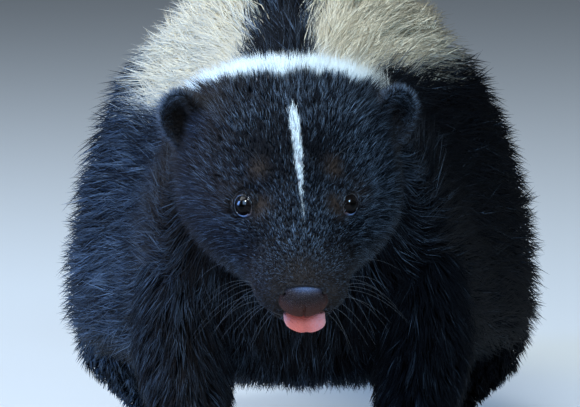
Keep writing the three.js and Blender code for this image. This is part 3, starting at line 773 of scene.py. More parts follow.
def nose_form(t, p):
    """A squared ellipsoid round the axis along the muzzle, narrower below: t from its front to its back."""
    x, y, z = np.sin(t) * np.cos(p), -np.cos(t), np.sin(t) * np.sin(p)
    x, y, z = (np.sign(value) * np.abs(value) ** power for value, power in ((x, 0.84), (y, 0.97), (z, 0.97)))
    narrow = 1 - NOSE["taper"] * np.maximum(-z, 0)
    x, y, z = x * NOSE["half"] * narrow, y * NOSE["deep"] - NOSE["forward"], z * NOSE["high"] + NOSE["up"]
    return np.stack([x, y, z], -1)


MOUTH = {"corner": 0.012, "bend": 0.026, "front": 0.035, "upper": -0.0160, "lower": -0.0174, "slope": 0.07}
MOUTH_SLIT = 0.00008  # half its height at the corner


def mouth_level(forward):
    """Height of the slit between the lips, by the distance in front of the eyes."""
    return MOUTH["lower"] - MOUTH["slope"] * (MOUTH["front"] - forward)


def mouth_shell():
    """A wedge across the muzzle: nothing at the corner of the mouth and as high as the tongue in front."""
    corner, bend, beyond, half = MOUTH["corner"], MOUTH["bend"], 0.05, 0.03
    outline = np.array([
        [corner, mouth_level(corner) - MOUTH_SLIT], [beyond, mouth_level(beyond)], [beyond, MOUTH["upper"]],
        [bend, MOUTH["upper"] - 0.0003], [corner, mouth_level(corner) + MOUTH_SLIT],
    ])
    side = np.array([-half, half])[:, None]
    rings = np.stack([side + 0 * outline[:, 0], -outline[:, 0] + 0 * side, outline[:, 1] + 0 * side], -1)
    return outwards(*closed_grid(from_head(rings)))


def nose_shell(shrink):
    """The nose pad's plain form, smaller by `shrink`: the skin is cut away inside it, so that nothing shows
    in the nostrils."""
    points = nose_form(*grid(np.linspace(0.01, np.pi - 0.02, 40), around(48)))
    return outwards(*closed_grid(from_head(points + shrink * unit(NOSE_MIDDLE - points))))


# %% Join the shells into one skin
def apply_modifier(piece, kind, **settings):
    """Adds a modifier with its settings and applies it to the piece's mesh."""
    modifier = piece.modifiers.new(kind.lower(), kind)
    for name, value in settings.items():
        setattr(modifier, name, value)
    depsgraph = bpy.context.evaluated_depsgraph_get()
    mesh = bpy.data.meshes.new_from_object(piece.evaluated_get(depsgraph))
    piece.modifiers.clear()
    piece.data = mesh


def relax(piece, weight, rounds):
    """Moves every vertex part of the way to the mean of its neighbours, by its own weight, a few times."""
    mesh = piece.data
    points = mesh_points(mesh)
    size = len(points)
    ends = np.empty(2 * len(mesh.edges), np.int32)
    mesh.edges.foreach_get("vertices", ends)
    start, stop = ends.reshape(-1, 2).T
    count = np.maximum(np.bincount(start, minlength=size) + np.bincount(stop, minlength=size), 1)
    strength = np.clip(weight(points), 0, 1)[:, None] * 0.5
    for _ in range(rounds):
        total = [np.bincount(start, column[stop], size) + np.bincount(stop, column[start], size)
                 for column in points.T]
        points += strength * (np.stack(total, -1) / count[:, None] - points)
    mesh.vertices.foreach_set("co", points.astype(np.float32).ravel())
    mesh.update()


def shell_object(name, points, triangles):
    """A shell as an object, to be joined with others."""
    return link(triangle_mesh(name, points, triangles), name)


def remeshed(name, shells, voxel, rounds):
    """Shells melted into one closed mesh of even quads and smoothed."""
    piece = shell_object(name, *join_shells(shells))
    apply_modifier(piece, "REMESH", mode="VOXEL", voxel_size=voxel, use_smooth_shade=True)
    relax(piece, even(1.0), rounds)
    return piece


def unite(piece, other, operation="UNION"):
    """Boolean of two closed meshes. The second is removed."""
    apply_modifier(piece, "BOOLEAN", operation=operation, object=other, solver="MANIFOLD")
    bpy.data.objects.remove(other)


def creases(points):
    """Weights for the smoothing after the unions: the neck and the ankles."""
    back = to_head(points)[:, 1]
    neck = smoothstep(0.028, 0.036, back) * smoothstep(0.085, 0.07, back)
    ankle = smoothstep(0.006, 0.01, points[:, 2]) * smoothstep(0.034, 0.024, points[:, 2])
    return np.maximum(neck, ankle)


def make_skin():
    """The whole skin as one closed mesh."""
    back = spaced(TRUNK[0, 0], TRUNK[-1, 0], 70, lambda at: 1 + 2 * (at > 0.28))  # more rows at the rump
    shells = [loft(trunk, back, around(72))]
    shells.append(loft(tail, np.linspace(TAIL[0, 0], TAIL_BONE_END, 50), around(24)))
    for joints in (FORE_LEG, HIND_LEG):
        shells += [loft(leg(joints, mirror), np.linspace(0, 1, 24), around(24)) for _, mirror in SIDES]
    skin = remeshed("skin", shells, 0.0021, 6)
    feet = remeshed("feet", foot_shells(), 0.0010, 3)
    unite(skin, feet)
    skull = shell_object("head_skin", *head_shell())
    unite(skull, shell_object("ears", *join_shells(ear_shells())))
    unite(skull, shell_object("mouth", *mouth_shell()), "DIFFERENCE")
    unite(skull, shell_object("socket", *nose_shell(0.0005)), "DIFFERENCE")
    unite(skin, skull)
    relax(skin, creases, 8)
    skin.data.shade_smooth()
    return skin


skin = make_skin()
print("skin:", len(skin.data.vertices), "points,", len(skin.data.polygons), "faces")

# %% [markdown]
# ## Markings
# Black, with a white cap on the nape that runs on over the shoulders and parts into two stripes, a thin
# white line down the forehead and white in the tail. Skin and coat ask the same functions, so that a
# parting in the hair never shows the wrong colour. The edges waver, because whole locks of real fur are
# black or white.

# %% Where the fur is white
FACE_STRIPE = np.array([
    # distance behind the eyes, half width
    [-0.0130, 0.0], [-0.0090, 0.0001], [-0.0050, 0.0002], [0.0, 0.0006], [0.0060, 0.0010],
    [0.0120, 0.0013], [0.0180, 0.0016], [0.0225, 0.0014], [0.0260, 0.0004],
])
STRIPE_MIDDLE = np.array([[-0.012, 0.0011], [0.0, 0.0007], [0.028, 0.0002]])  # distance behind, side
CAP_EDGE = 0.0392  # distance behind the eyes where the cap starts, on the middle line
CAP_CURVE = 5.5  # how fast its edge falls back towards the ears
BACK_STRIPES = np.array([
    # distance behind the eyes, half width of the black middle, outer edge of the white
    [0.035, -0.01, 0.032], [0.057, -0.003, 0.032], [0.066, 0.009, 0.031], [0.085, 0.0120, 0.031],
    [0.105, 0.0125, 0.030], [0.118, 0.0125, 0.033], [0.145, 0.012, 0.043], [0.175, 0.011, 0.052],
    [0.200, 0.014, 0.056], [0.230, 0.016, 0.055], [0.270, 0.017, 0.048], [0.300, 0.012, 0.036],
    [0.345, 0.010, 0.040], [0.430, 0.012, 0.060], [0.500, 0.006, 0.060], [0.560, 0.0, 0.060],
])
STRIPE_SHIFT, STRIPE_SLANT = 0.007, 0.1  # in front they lie to the right, as the head looks left
WHITE_ABOVE = np.array([
    # distance behind the eyes, lowest height of the white
    [0.02, 0.137], [0.10, 0.139], [0.14, 0.130], [0.18, 0.118], [0.25, 0.095], [0.30, 0.085],
    [0.345, 0.100], [0.43, 0.085], [0.5, 0.0],
])


def between(rows, at, column=1, **ends):
    """A column of a table at values of its first column, straight between its rows."""
    return np.interp(at, rows[:, 0], rows[:, column], **ends)


def edge(half_width, value):
    """0 to 1 across a border of some width that lies where the value is 0."""
    return smoothstep(-half_width, half_width, value)


def drift(points, size, seed):
    """A smooth random value from about -1 to 1: a sum of sine waves of random direction, `size` long."""
    rng = np.random.default_rng(seed)
    ways = unit(rng.normal(size=(7, 3))) * rng.uniform(0.6, 1.5, (7, 1)) * (2 * np.pi / size)
    return np.sin(points @ ways.T + rng.uniform(0, 2 * np.pi, 7)).sum(-1) / 3.2


def whiteness(points):
    """0 on black fur and 1 on white, with an edge of a millimetre or so: the face's stripe, or the back's
    two stripes and the tail's tip as far as they lie behind the cap's edge."""
    side, back, up = np.moveaxis(to_head(points), -1, 0)
    half = between(FACE_STRIPE, back, left=0, right=0)
    face = edge(0.00015, half - np.abs(side - between(STRIPE_MIDDLE, back))) * (up > -0.004) * (half > 0)
    cap = smoothstep(0.0, 0.0015, back - CAP_EDGE - CAP_CURVE * side ** 2 + 0.0012 * drift(points, 0.008, 3))
    front = smoothstep(0.25, 0.14, behind_eyes(points))
    along = behind_eyes(points) + STRIPE_SLANT * front * points[..., 0]
    across = np.abs(points[..., 0] + STRIPE_SHIFT * front)
    inner, outer = between(BACK_STRIPES, along), between(BACK_STRIPES, along, 2)
    waver = 0.0022 * drift(points, 0.035, 5)
    band = edge(0.002, outer - across + waver) * edge(0.002, across - inner + waver)
    band = band * edge(0.004, points[..., 2] - between(WHITE_ABOVE, along))
    tail_tip = smoothstep(0.495, 0.52, along + 0.02 * drift(points, 0.02, 7))
    return np.maximum(face, np.maximum(band, tail_tip) * cap)


# %% Where it is lighter or browner
FACE_SHEEN_AND_SHADE = [
    # place beside the middle (side, back, up), size, how much lighter. All are painted sheen and shade:
    # dark beside the stripe, light bridge and cheeks, dark beside the bridge, light crown
    ((0.0085, 0.010, 0.013), 0.0080, -0.36), ((0.0, -0.016, -0.002), 0.0095, 0.14),
    ((0.027, 0.002, -0.008), 0.0100, 0.05), ((0.0115, -0.013, -0.006), 0.0055, -0.26),
    ((0.0, 0.030, 0.020), 0.0120, 0.06),
]
# painted sheen: behind the head the right flank's hair is paler than the left's
FLANK_SHEEN, FLANK_LIMIT = 2.8, 0.07  # change of tone for each metre to the side, and how far out it goes
# painted light: the left brow's hair is a little paler
LEFT_BROW_LIGHT = 0.12
BROWN_AND_FILL_SPOTS = [
    # place, size, how brown: inner corner of the eye, brow, round the eye, beside the nose, chin, hollow
    # of the ear, top of the muzzle, throat, side of the muzzle. The throat's brown is partly real and partly
    # painted light that lifts fur lying in the head's shade.
    ((0.0110, -0.0045, 0.001), 0.0034, 1.1), ((0.0118, 0.0045, 0.009), 0.0030, 1.4),
    ((0.019, 0.003, 0.001), 0.005, 0.35), ((0.008, -0.031, -0.011), 0.005, 0.6),
    ((0.005, -0.026, -0.026), 0.012, 0.5), ((0.0300, 0.036, 0.001), 0.008, 0.7),
    ((0.0, -0.029, -0.005), 0.0060, 0.6), ((0.0, 0.021, -0.068), 0.022, 0.5),
    ((0.011, -0.021, -0.012), 0.0085, 0.4),
]
RIGHT_CHEEK_BROWN, BACK_CREAM = 0.30, 0.92


def near_spots(points, spots):
    """Sum over spots, the same on both sides of the head, of a share times a bell of the distance."""
    local = mirrored(to_head(points))
    return sum(share * bell(norm(local - np.array(place)), size) for place, size, share in spots)


def painted_sheen_and_shade(points):
    """How much lighter the hair of a place is, as painted sheen and shade: the face's spots, a lighter left
    brow, and behind the head a right flank paler than the left.
    """
    behind = smoothstep(0.03, 0.08, behind_eyes(points))
    brow = LEFT_BROW_LIGHT * smoothstep(-0.01, 0.02, to_head(points)[..., 0]) * (1 - behind)
    flank = FLANK_SHEEN * behind * np.clip(points[..., 0], -FLANK_LIMIT, FLANK_LIMIT)
    return brow + near_spots(points, FACE_SHEEN_AND_SHADE) - flank


def warmth(points, white):
    """Brownish fur round eyes, brows, nose and in the ears, and on the right cheek. On the throat the brown
    is partly painted light on fur in the head's shade. White fur behind the nape is a little yellow."""
    behind = smoothstep(0.05, 0.10, behind_eyes(points))
    cheek = RIGHT_CHEEK_BROWN * smoothstep(-0.012, -0.026, to_head(points)[..., 0]) * (1 - behind)
    cream = behind * (BACK_CREAM - np.clip(points[..., 0], -0.08, 0.16))
    return near_spots(points, BROWN_AND_FILL_SPOTS) + white * cream + cheek * (1 - white)


# %% [markdown]
# ## Fur and skin finishes
# Black fur isn't flat black: each hair is smooth and catches the sky as a thin cool line, while the
# depth between the hairs stays dark. So the colour is almost black, with painted shade that makes it darker
# towards the roots, and different from hair to hair. Hairs of high tone are painted a pale blue, as glints
# that stand for that shine, on thin round spikes whose own surface is rough and shines only faintly.

# %% Fur
# painted shade: black hair is darker towards its root, for the shade deep in the coat
BLACK_SHADED_ROOT, BLACK_TIP = (0.0014, 0.0016, 0.0022), (0.0065, 0.0083, 0.0125)
# painted glint: black hairs of high tone turn this pale blue, for the sky's shine on them
BLACK_GLINT = (0.160, 0.222, 0.305)  # the lightest black hairs
GLINT_TONES = (0.66, 1.2)  # the hairs' tone from which they grow lighter, and where they are lightest
# painted shade: white hair is darker towards its root, as black hair is
WHITE_SHADED_ROOT, WHITE_TIP = (0.44, 0.48, 0.53), (0.86, 0.97, 0.98)
CREAM, BROWN = (0.71, 0.62, 0.44), (0.046, 0.033, 0.026)


def fur_paint(finish):
    """The four values of the attribute that hair and skin carry."""
    paint = finish.add("Attribute", attribute_name="fur")
    parts = finish.add("SeparateColor", {0: paint.outputs["Color"]})
    return (*parts.outputs, paint.outputs["Alpha"])


def make_fur_material():
    """Fur by the hair attribute: red is whiteness, green the hair's tone, blue brownness, alpha how far
    along the hair. Hair is painted darker towards its root as shade, and black hairs of high tone are
    painted pale blue as glints."""
    finish = Finish("fur")
    white, tone, brown, along = fur_paint(finish)
    # painted shade towards the root, then painted glints on hairs of high tone
    black = finish.mix(along, BLACK_SHADED_ROOT, BLACK_TIP)
    black = finish.mix(finish.stretch(tone, *GLINT_TONES), black, BLACK_GLINT)
    black = finish.mix(brown, black, BROWN)
    light = finish.mix(brown, finish.mix(along, WHITE_SHADED_ROOT, WHITE_TIP), CREAM)
    colour = finish.mix(white, black, light)
    finish.feed(finish.shader, {"Base Color": colour, "Roughness": 0.5, "Specular IOR Level": 0.04})
    return finish.material


fur_material = make_fur_material()

# %% Skin
UNDERFUR_DARK, UNDERFUR_LIGHT = (0.0012, 0.0013, 0.0018), (0.030, 0.040, 0.055)
UNDERFUR_BROWN, UNDERFUR_WHITE = (0.030, 0.021, 0.017), (0.32, 0.30, 0.31)
BARE_SKIN = (0.016, 0.012, 0.012)
LIP_WIDTH = 0.0008


def make_skin_material():
    """Skin with its short underfur: dark under black fur and pale under white, in fine specks that also
    drive the bump. Alpha is bare skin."""
    finish = Finish("skin")
    white, _, brown, bare = fur_paint(finish)
    specks = finish.add("TexNoise", {"Vector": finish.place(), "Scale": 1500, "Detail": 2}).outputs["Fac"]
    black = finish.mix(finish.stretch(specks, 0.50, 0.72), UNDERFUR_DARK, UNDERFUR_LIGHT)
    furred = finish.mix(white, finish.mix(brown, black, UNDERFUR_BROWN), UNDERFUR_WHITE)
    bump = finish.add("Bump", {"Strength": 0.4, "Distance": 0.0003, "Height": specks})
    finish.feed(finish.shader, {
        "Base Color": finish.mix(bare, furred, BARE_SKIN),
        "Roughness": finish.stretch(bare, 0.0, 1.0, 0.7, 0.45),
        "Specular IOR Level": 0.15,
        "Normal": bump.outputs["Normal"],
    })
    return finish.material


def paint_skin():
    """Gives the skin the same markings as the coat, as the same attribute. Lips and soles are bare."""
    points = mesh_points(skin.data)
    white = whiteness(points)
    _, back, up = to_head(points).T
    lips = bell(up - mouth_level(-back), LIP_WIDTH) * smoothstep(-0.011, -0.016, back)
    bare = np.maximum(lips, smoothstep(0.0045, 0.003, points[:, 2]))
    brown = np.clip(warmth(points, white), 0, 1)
    set_colours(skin.data, "fur", np.stack([white, 0 * white + 0.5, brown, bare], -1))
    skin.data.materials.clear()
    skin.data.materials.append(make_skin_material())


paint_skin()
print("skin painted,", len(skin.data.attributes), "attributes")

# %% [markdown]
# ## How fur is made here
# Particle hair would be the quickest way, but it isn't a solid and is lost when a model is exported. So
# every lock is a few thin closed spikes: rings of three points that close to a tip. A hair's middle line is
# walked over the surface function itself, along the lie of the coat, while it rises from the skin to the
# outline. So long hair bends with the body and its tips end where the solids do. Neighbouring hairs lean
# together towards their tips, which gives fur its locks.

# %% Roots
def scatter(place, u_range, count, weight, rng):
    """Random (u, v) spread evenly over a surface's area times weight(points): cells of a fine grid are drawn
    in proportion to their area, and each root lies anywhere in its cell."""
    cells = 240  # along and round
    u_edges, v_edges = np.linspace(*u_range, cells + 1), np.linspace(0, 2 * np.pi, cells + 1)
    u, v = grid((u_edges[1:] + u_edges[:-1]) / 2, (v_edges[1:] + v_edges[:-1]) / 2)
    corners = place(*grid(u_edges, v_edges), np.ones((cells + 1, cells + 1)))
    down, over = corners[1:, :-1] - corners[:-1, :-1], corners[:-1, 1:] - corners[:-1, :-1]
    area = norm(np.cross(down, over)) * weight(place(u, v, 1 + 0 * u))
    i, j = np.divmod(rng.choice(area.size, count, p=(area / area.sum()).ravel()), cells)
    u = u_edges[i] + rng.random(count) * (u_edges[1] - u_edges[0])
    return np.stack([u, v_edges[j] + rng.random(count) * (v_edges[1] - v_edges[0])])


SKIN_TREE = BVHTree.FromPolygons(
    [vertex.co[:] for vertex in skin.data.vertices], [face.vertices[:] for face in skin.data.polygons])


def on_skin(points, slack):
    """Which points aren't buried deeper than `slack` under the finished skin."""
    kept = np.zeros(len(points), bool)
    for i, point in enumerate(points):
        near, normal, *_ = SKIN_TREE.find_nearest(Vector(point))
        kept[i] = (Vector(point) - near).dot(normal) > -slack
    return kept


# %% The lie of the coat
SWIRL = 0.16


def swirl(points, size, seed):
    """A small random change of direction that drifts over the coat."""
    return SWIRL * np.stack([drift(points, size, seed + i) for i in range(3)], -1)


def towards(way):
    """A lie that is the same all over a part."""
    return lambda points: np.array(way) + 0 * points


def flow(place, u, v, lie):
    """Steps of (u, v) that move one metre along the coat's lie and one metre across it, and the surface's
    normal: the wanted direction is flattened on the surface and solved in the surface's own two steps."""
    eps_u, eps_v = 0.0004, 0.01
    level = 0.5 + 0 * u
    point = place(u, v, level)
    along = (place(u + eps_u, v, level) - place(u - eps_u, v, level)) / (2 * eps_u)
    round_it = (place(u, v + eps_v, level) - place(u, v - eps_v, level)) / (2 * eps_v)
    normal = unit(np.cross(along, round_it))
    normal *= np.sign(dot(normal, place(u, v, level + 0.3) - point))[..., None]
    wanted = lie(point)
    wanted = unit(wanted - normal * dot(wanted, normal)[..., None])
    e, f, g = dot(along, along), dot(along, round_it), dot(round_it, round_it)
    area = np.maximum(e * g - f * f, 1e-9)
    steps = []
    for way in (wanted, np.cross(normal, wanted)):
        p, q = dot(way, along), dot(way, round_it)
        steps += [(g * p - f * q) / area, (e * q - f * p) / area]
    return (*steps, normal)


# %% Styles and locks
def coat_style(**changes):
    """What one coat has of its own, over a plain one. lie, length, radius, tilt and paler are functions of
    place, and lengths are in metres."""
    return {
        "hairs": 3,  # in a lock
        "segments": 1,  # of a hair
        "profile": [1.0],  # thickness of a hair's rings, as shares of its radius
        "spread": 0.0003,  # of a lock's roots
        "gather": 0.3,  # share of that spread that is gone at the tips
        "wander": 0.2,  # of a lock's direction, in radians
        "curl": 0.0,  # how far a hair turns from root to tip, in radians
        "shortest": 0.6,  # as a share of the longest
        "stand": (0.6, 1.1),  # levels of the tips, where 1 is the outline
        "rise": 1.2,  # above 1 the hair leaves the skin faster than it nears the outline
        "straight": 0.3,  # share of the way to a straight hair that leaves the skin at the tilt
        "tilt": even(25),  # degrees
        "mark": 0.3,  # how far along the hair the markings are looked up
        "blur": 0.0005,  # of that place
        "contrast": 0.3,  # of tone from hair to hair
        # raises the tone, so that more black hairs carry the painted glint
        "paler": even(0),
        "slack": 0.003,  # how deep under the finished skin a root may lie
        **changes,
    }


def grow(place, roots, style, rng):
    """Middle lines of hairs, (hairs, steps, 3), with their normals and the points their locks grow from.
    The point at s of a hair, 0 at its root and 1 at its tip, is at level top * (1 - (1 - s)^rise) between
    skin and outline, and it nears the middle of its lock by `gather`. A style may also pull hairs
    `straight`, so that they leave the surface at a tilt."""
    u, v = roots
    shape = (len(u), style["hairs"])
    s = np.linspace(0, 1, style["segments"] + 1)

    def varied(spread, share):
        """A random value for each lock, and a share of as much for each of its hairs."""
        return (rng.normal(0, spread, (len(u), 1)) + rng.normal(0, share * spread, shape))[..., None]

    origin = place(u, v, 0 * u)
    steps = flow(place, u, v, style["lie"])
    a, b = rng.normal(0, style["spread"], (2, *shape, 1))
    bend = varied(style["wander"], 0.5)
    angle = bend + varied(style["curl"], 0.4) * s
    reach = (style["length"](origin)[:, None] * rng.uniform(style["shortest"], 1.1, shape))[..., None] * s
    top = (rng.uniform(*style["stand"], (len(u), 1)) + rng.normal(0, 0.05, shape))[..., None]
    tilt = (np.radians(style["tilt"](origin))[:, None] + rng.normal(0, 0.15, shape))[..., None, None]
    keep = 1 - style["gather"] * s
    forward = reach * np.cos(angle) + a * keep
    across = reach * np.sin(angle) + b * keep
    ahead = unit(place(u + 0.001 * steps[0], v + 0.001 * steps[1], 0 * u) - origin)
    beside = np.cross(steps[4], ahead)[:, None, None]
    step_u, step_v, side_u, side_v, normal = (value[:, None, None] for value in steps)
    u_line = u[:, None, None] + forward * step_u + across * side_u
    v_line = v[:, None, None] + forward * step_v + across * side_v
    lines = place(u_line, v_line, np.maximum(top * (1 - (1 - s) ** style["rise"]), 0.0))
    away = ahead[:, None, None] * np.cos(angle)[..., None] + beside * np.sin(angle)[..., None]
    rising = away * np.cos(tilt) + normal * np.sin(tilt)
    rising = lines[..., :1, :] + reach[..., None] * rising
    lines = lines + style["straight"] * s[:, None] * (rising - lines)
    return (lines.reshape(-1, len(s), 3), np.repeat(steps[4], shape[1], 0), np.repeat(origin, shape[1], 0),
            u_line[..., 0].ravel(), v_line[..., 0].ravel())


# %% Spikes
FACE_LIMIT = 190_000  # triangles in one piece
PATCH = 0.0014  # radius of a hair's patch on the bake map
CORNERS = np.array([90, 210, 330]) * np.pi / 180  # of a hair's rings


def spikes(lines, normal, radius, profile):
    """Closed spikes round middle lines: a ring of three points at each step but the last, which is the tip.
    Returns points (hairs, 3 * rings + 1, 3) and one hair's triangles, base first."""
    tangent = unit(np.gradient(lines, axis=1))
    side = unit(np.cross(tangent, normal[:, None]))
    other = np.cross(tangent, side)
    rings = len(profile)
    wide = radius[:, None, None, None] * np.asarray(profile)[None, :, None, None]
    c, s = np.cos(CORNERS)[:, None], np.sin(CORNERS)[:, None]
    circle = side[:, :rings, None] * c + other[:, :rings, None] * s
    walls = lines[:, :rings, None] + wide * circle
    points = np.concatenate([walls.reshape(len(lines), -1, 3), lines[:, -1:]], 1)
    faces = [(2, 1, 0)]
    for j in range(rings - 1):
        for k in range(3):
            a, b = 3 * j + k, 3 * j + (k + 1) % 3
            faces += [(a, b, b + 3), (a, b + 3, a + 3)]
    top = 3 * (rings - 1)
    faces += [(top + k, top + (k + 1) % 3, 3 * rings) for k in range(3)]
    return points, np.array(faces)


def coat_mesh(name, points, faces, colours, roots):
    """One coat piece: the spikes of many hairs in one mesh, with their colours as an attribute and the map
    for baking, where each hair is a small round patch at its root's place on the unwrapped surface."""
    hairs, size = points.shape[:2]
    rings = (size - 1) // 3
    triangles = (faces[None] + (np.arange(hairs) * size)[:, None, None]).reshape(-1, 3)
    mesh = triangle_mesh(name, points.reshape(-1, 3), triangles)
    values = np.empty((hairs, size, 4), np.float32)
    values[..., :3] = colours[:, None]
    values[..., 3] = np.append(np.repeat(np.arange(rings) / rings, 3), 1)
    set_colours(mesh, "fur", values)
    low, high = roots.min(0), roots.max(0)
    centre = 0.004 + 0.992 * (roots - low) / (high - low)
    radius = np.append(np.repeat(PATCH * (1 - np.arange(rings) / rings), 3), 0)
    angle = np.append(np.tile(CORNERS, rings), 0)
    patch = np.stack([radius * np.cos(angle), radius * np.sin(angle)], -1)
    corners = np.clip(centre[:, None] + patch, 0, 1).reshape(-1, 2)[triangles.ravel()]
    mesh.uv_layers.new(name="OFBake").data.foreach_set("uv", corners.astype(np.float32).ravel())
    mesh.materials.append(fur_material)
    piece = link(mesh, name)
    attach(piece, "root")


# %% Coats
def grown_coat(place, roots, style, seed):
    """Hairs on one surface: their points, one hair's faces, colours and roots on the unwrapped surface.
    Roots that another part buries are left out."""
    rng = np.random.default_rng(seed)
    roots = roots[:, on_skin(place(*roots, 0 * roots[0]), style["slack"])]
    lines, normal, origin, u, v = grow(place, roots, style, rng)
    thick = style["radius"](origin) * rng.uniform(0.7, 1.2, len(lines))
    points, faces = spikes(lines, normal, thick, style["profile"])
    seen = origin + style["mark"] * (lines[:, -1] - origin)
    white = whiteness(seen + rng.normal(0, style["blur"], origin.shape))
    locks = np.repeat(rng.normal(0, 0.6, len(lines) // style["hairs"]), style["hairs"])
    varied = style["contrast"] * (locks + rng.normal(0, 0.55, len(lines)))
    # the tone varies at random from hair to hair, and by place with the painted sheen and shade
    tone = 0.5 + style["paler"](origin) + varied + painted_sheen_and_shade(origin)
    colours = np.stack([white, tone, np.clip(warmth(origin, white), 0, 1)], -1)
    return points, faces, colours, np.stack([v, u], -1)


def coat_pieces(name, grown, sort_by=0):
    """Makes hairs into pieces of fewer triangles than the limit, cut apart along the unwrapped surface.
    Hairs of several surfaces are laid side by side on the map. Returns the number of triangles."""
    points, faces, colours, roots = zip(*grown)
    unwrapped = []
    for i, one in enumerate(roots):
        low, high = one.min(0), one.max(0)
        unwrapped.append((one - low) / (high - low) * [0.94, 1] + [i, 0])
    points, colours, unwrapped = (np.concatenate(one) for one in (points, colours, unwrapped))
    triangles = len(points) * len(faces[0])
    parts = math.ceil(triangles / FACE_LIMIT)
    order = np.argsort(unwrapped[:, sort_by], kind="stable")
    for i, chosen in enumerate(np.array_split(order, parts)):
        title = name if parts == 1 else f"{name}_{i + 1}"
        coat_mesh(title, points[chosen], faces[0], colours[chosen], unwrapped[chosen])
    print(name, len(points), "hairs in", parts, "pieces,", triangles, "triangles")
    return triangles


# %% [markdown]
# ## The coat of the head
# Fur on the face starts at the nose and lies away from it in all directions, up over the forehead and out
# over the cheeks, and it parts round each eye. It is about a millimetre long beside the nose and four at
# the crown.

# %% Where the face's hair changes
NOSE_POINT = np.array([0.0, -0.0300, -0.0100])
EAR_FRONT, EAR_TOP = (0.0245, 0.028, 0.010), (0.0265, 0.042, 0.008)
PAD_MIDDLE, PAD_HALF = (0, -0.0336, -0.0114), (0.0077, 0.0058, 0.0056)


def by_ear(local):
    """1 just in front of an ear and just above it, 0 a centimetre away."""
    place = mirrored(local)
    return np.maximum(bell(norm(place - EAR_FRONT), 0.008), bell(norm(place - EAR_TOP), 0.007))


def on_cheek(local):
    """1 on the cheeks and the throat, 0 on the muzzle and above the eyes."""
    return smoothstep(0.004, -0.012, local[..., 2]) * smoothstep(-0.022, 0.002, local[..., 1])


def on_nape(local):
    """1 at the back of the crown."""
    return smoothstep(0.034, 0.044, local[..., 1]) * smoothstep(0.0, 0.01, local[..., 2])


def beside_openings(points):
    """Where hair grows on the head: not inside the lids, in the mouth or under the nose pad."""
    local = to_head(points)
    clear = norm((local - PAD_MIDDLE) / PAD_HALF) > 1.0
    for _, mirror in SIDES:
        share, distance = lid_share(local, mirror)
        clear &= (share > 1.03) | (distance > 0.0065)
    forward = -local[..., 1]
    lips = np.abs(local[..., 2] - mouth_level(forward)) < 0.0004 + 0.0009 * smoothstep(0.02, 0.032, forward)
    return clear & ~(lips & (forward > MOUTH["corner"]))


# %% Head coat
HEAD_HAIR = np.array([
    # distance behind the eyes, length
    [-0.034, 0.0010], [-0.022, 0.0013], [-0.01, 0.0018], [0.0, 0.0022], [0.02, 0.0032],
    [0.036, 0.0042], [0.06, 0.0070],
])
HEAD_THICKNESS = np.array([[0.001, 0.000086], [0.004, 0.000116], [0.008, 0.00015]])  # length, radius
HEAD_DENSITY = np.array([[-0.034, 2.4], [-0.02, 2.0], [0.01, 1.5], [0.03, 1.1], [0.045, 0.5], [0.06, 0.1]])
HEAD_LOCKS = 38_000


def head_lie(points):
    """Away from the nose and from an eye close to it, down the cheeks, and outwards over the ears' edges."""
    local = to_head(points)
    way = unit(local - NOSE_POINT)
    way[..., 2] -= 0.9 * on_cheek(local)
    way[..., 0] += 0.8 * np.sign(local[..., 0]) * by_ear(local)
    for _, mirror in SIDES:
        offset = local - eye_frame(mirror)[0]
        way = way + (1.3 * bell(norm(offset), 0.0062, 4))[..., None] * unit(offset)
    return (way + swirl(points, 0.018, 11)) @ HEAD_TURN.T


def head_length(points):
    """From 1 mm beside the nose to 4 mm at the crown, and longer on cheeks and throat."""
    local = to_head(points)
    longer = 1 + 2.7 * on_cheek(local) + 0.45 * on_nape(local) + 1.4 * by_ear(local)
    lids = np.minimum(lid_share(local, 1)[0], lid_share(local, -1)[0])
    return between(HEAD_HAIR, local[..., 1]) * longer * (0.6 + 0.4 * smoothstep(1.05, 1.5, lids))


def head_tilt(points):
    """Hair lies flattest on the muzzle and stands out on the cheeks and at the back of the crown."""
    local = to_head(points)
    return 28 + 26 * on_cheek(local) + 30 * on_nape(local) + 8 * by_ear(local)


def head_radius(points):
    """Thinner where the hair is shorter."""
    return between(HEAD_THICKNESS, head_length(points))


def head_density(points):
    """Denser on the face than on the throat and inside the neck."""
    return between(HEAD_DENSITY, to_head(points)[..., 1])


HEAD_STYLE = coat_style(
    lie=head_lie, length=head_length, radius=head_radius, spread=0.00026, gather=0.2, stand=(0.7, 1.35),
    rise=1.1, straight=0.65, tilt=head_tilt, mark=0.2, blur=0.0002, contrast=0.34, slack=0.0012)
rng = np.random.default_rng(1)
roots = scatter(head, (HEAD[0, 0], 0.056), HEAD_LOCKS, head_density, rng)
roots = roots[:, beside_openings(head(*roots, 0 * roots[0]))]
coat_triangles = coat_pieces("coat_head", [grown_coat(head, roots, HEAD_STYLE, 21)])

# %% [markdown]
# ## The coat of neck, trunk, legs and tail
# Behind the head the hair is long. It lies backwards and a little down, in overlapping locks, and it
# stands up most on the nape.

# %% Trunk coat
TRUNK_HAIR = np.array([
    # distance behind the eyes, length
    [0.02, 0.010], [0.04, 0.014], [0.06, 0.019], [0.10, 0.026], [0.16, 0.032], [0.25, 0.038], [0.31, 0.042],
])
LOW_HAIR = np.array([[0.03, 0.55], [0.06, 0.8], [0.10, 1.0]])  # height, share of that length
TRUNK_THICKNESS = np.array([[0.03, 0.00013], [0.08, 0.00018], [0.16, 0.00026], [0.26, 0.00034]])
TRUNK_DENSITY = np.array([[0.03, 4.0], [0.08, 3.0], [0.14, 1.2], [0.26, 0.8]])
LOW_DENSITY = np.array([[0.03, 0.45], [0.06, 1.0]])  # height, share of that density
TRUNK_LOCKS = 10_000


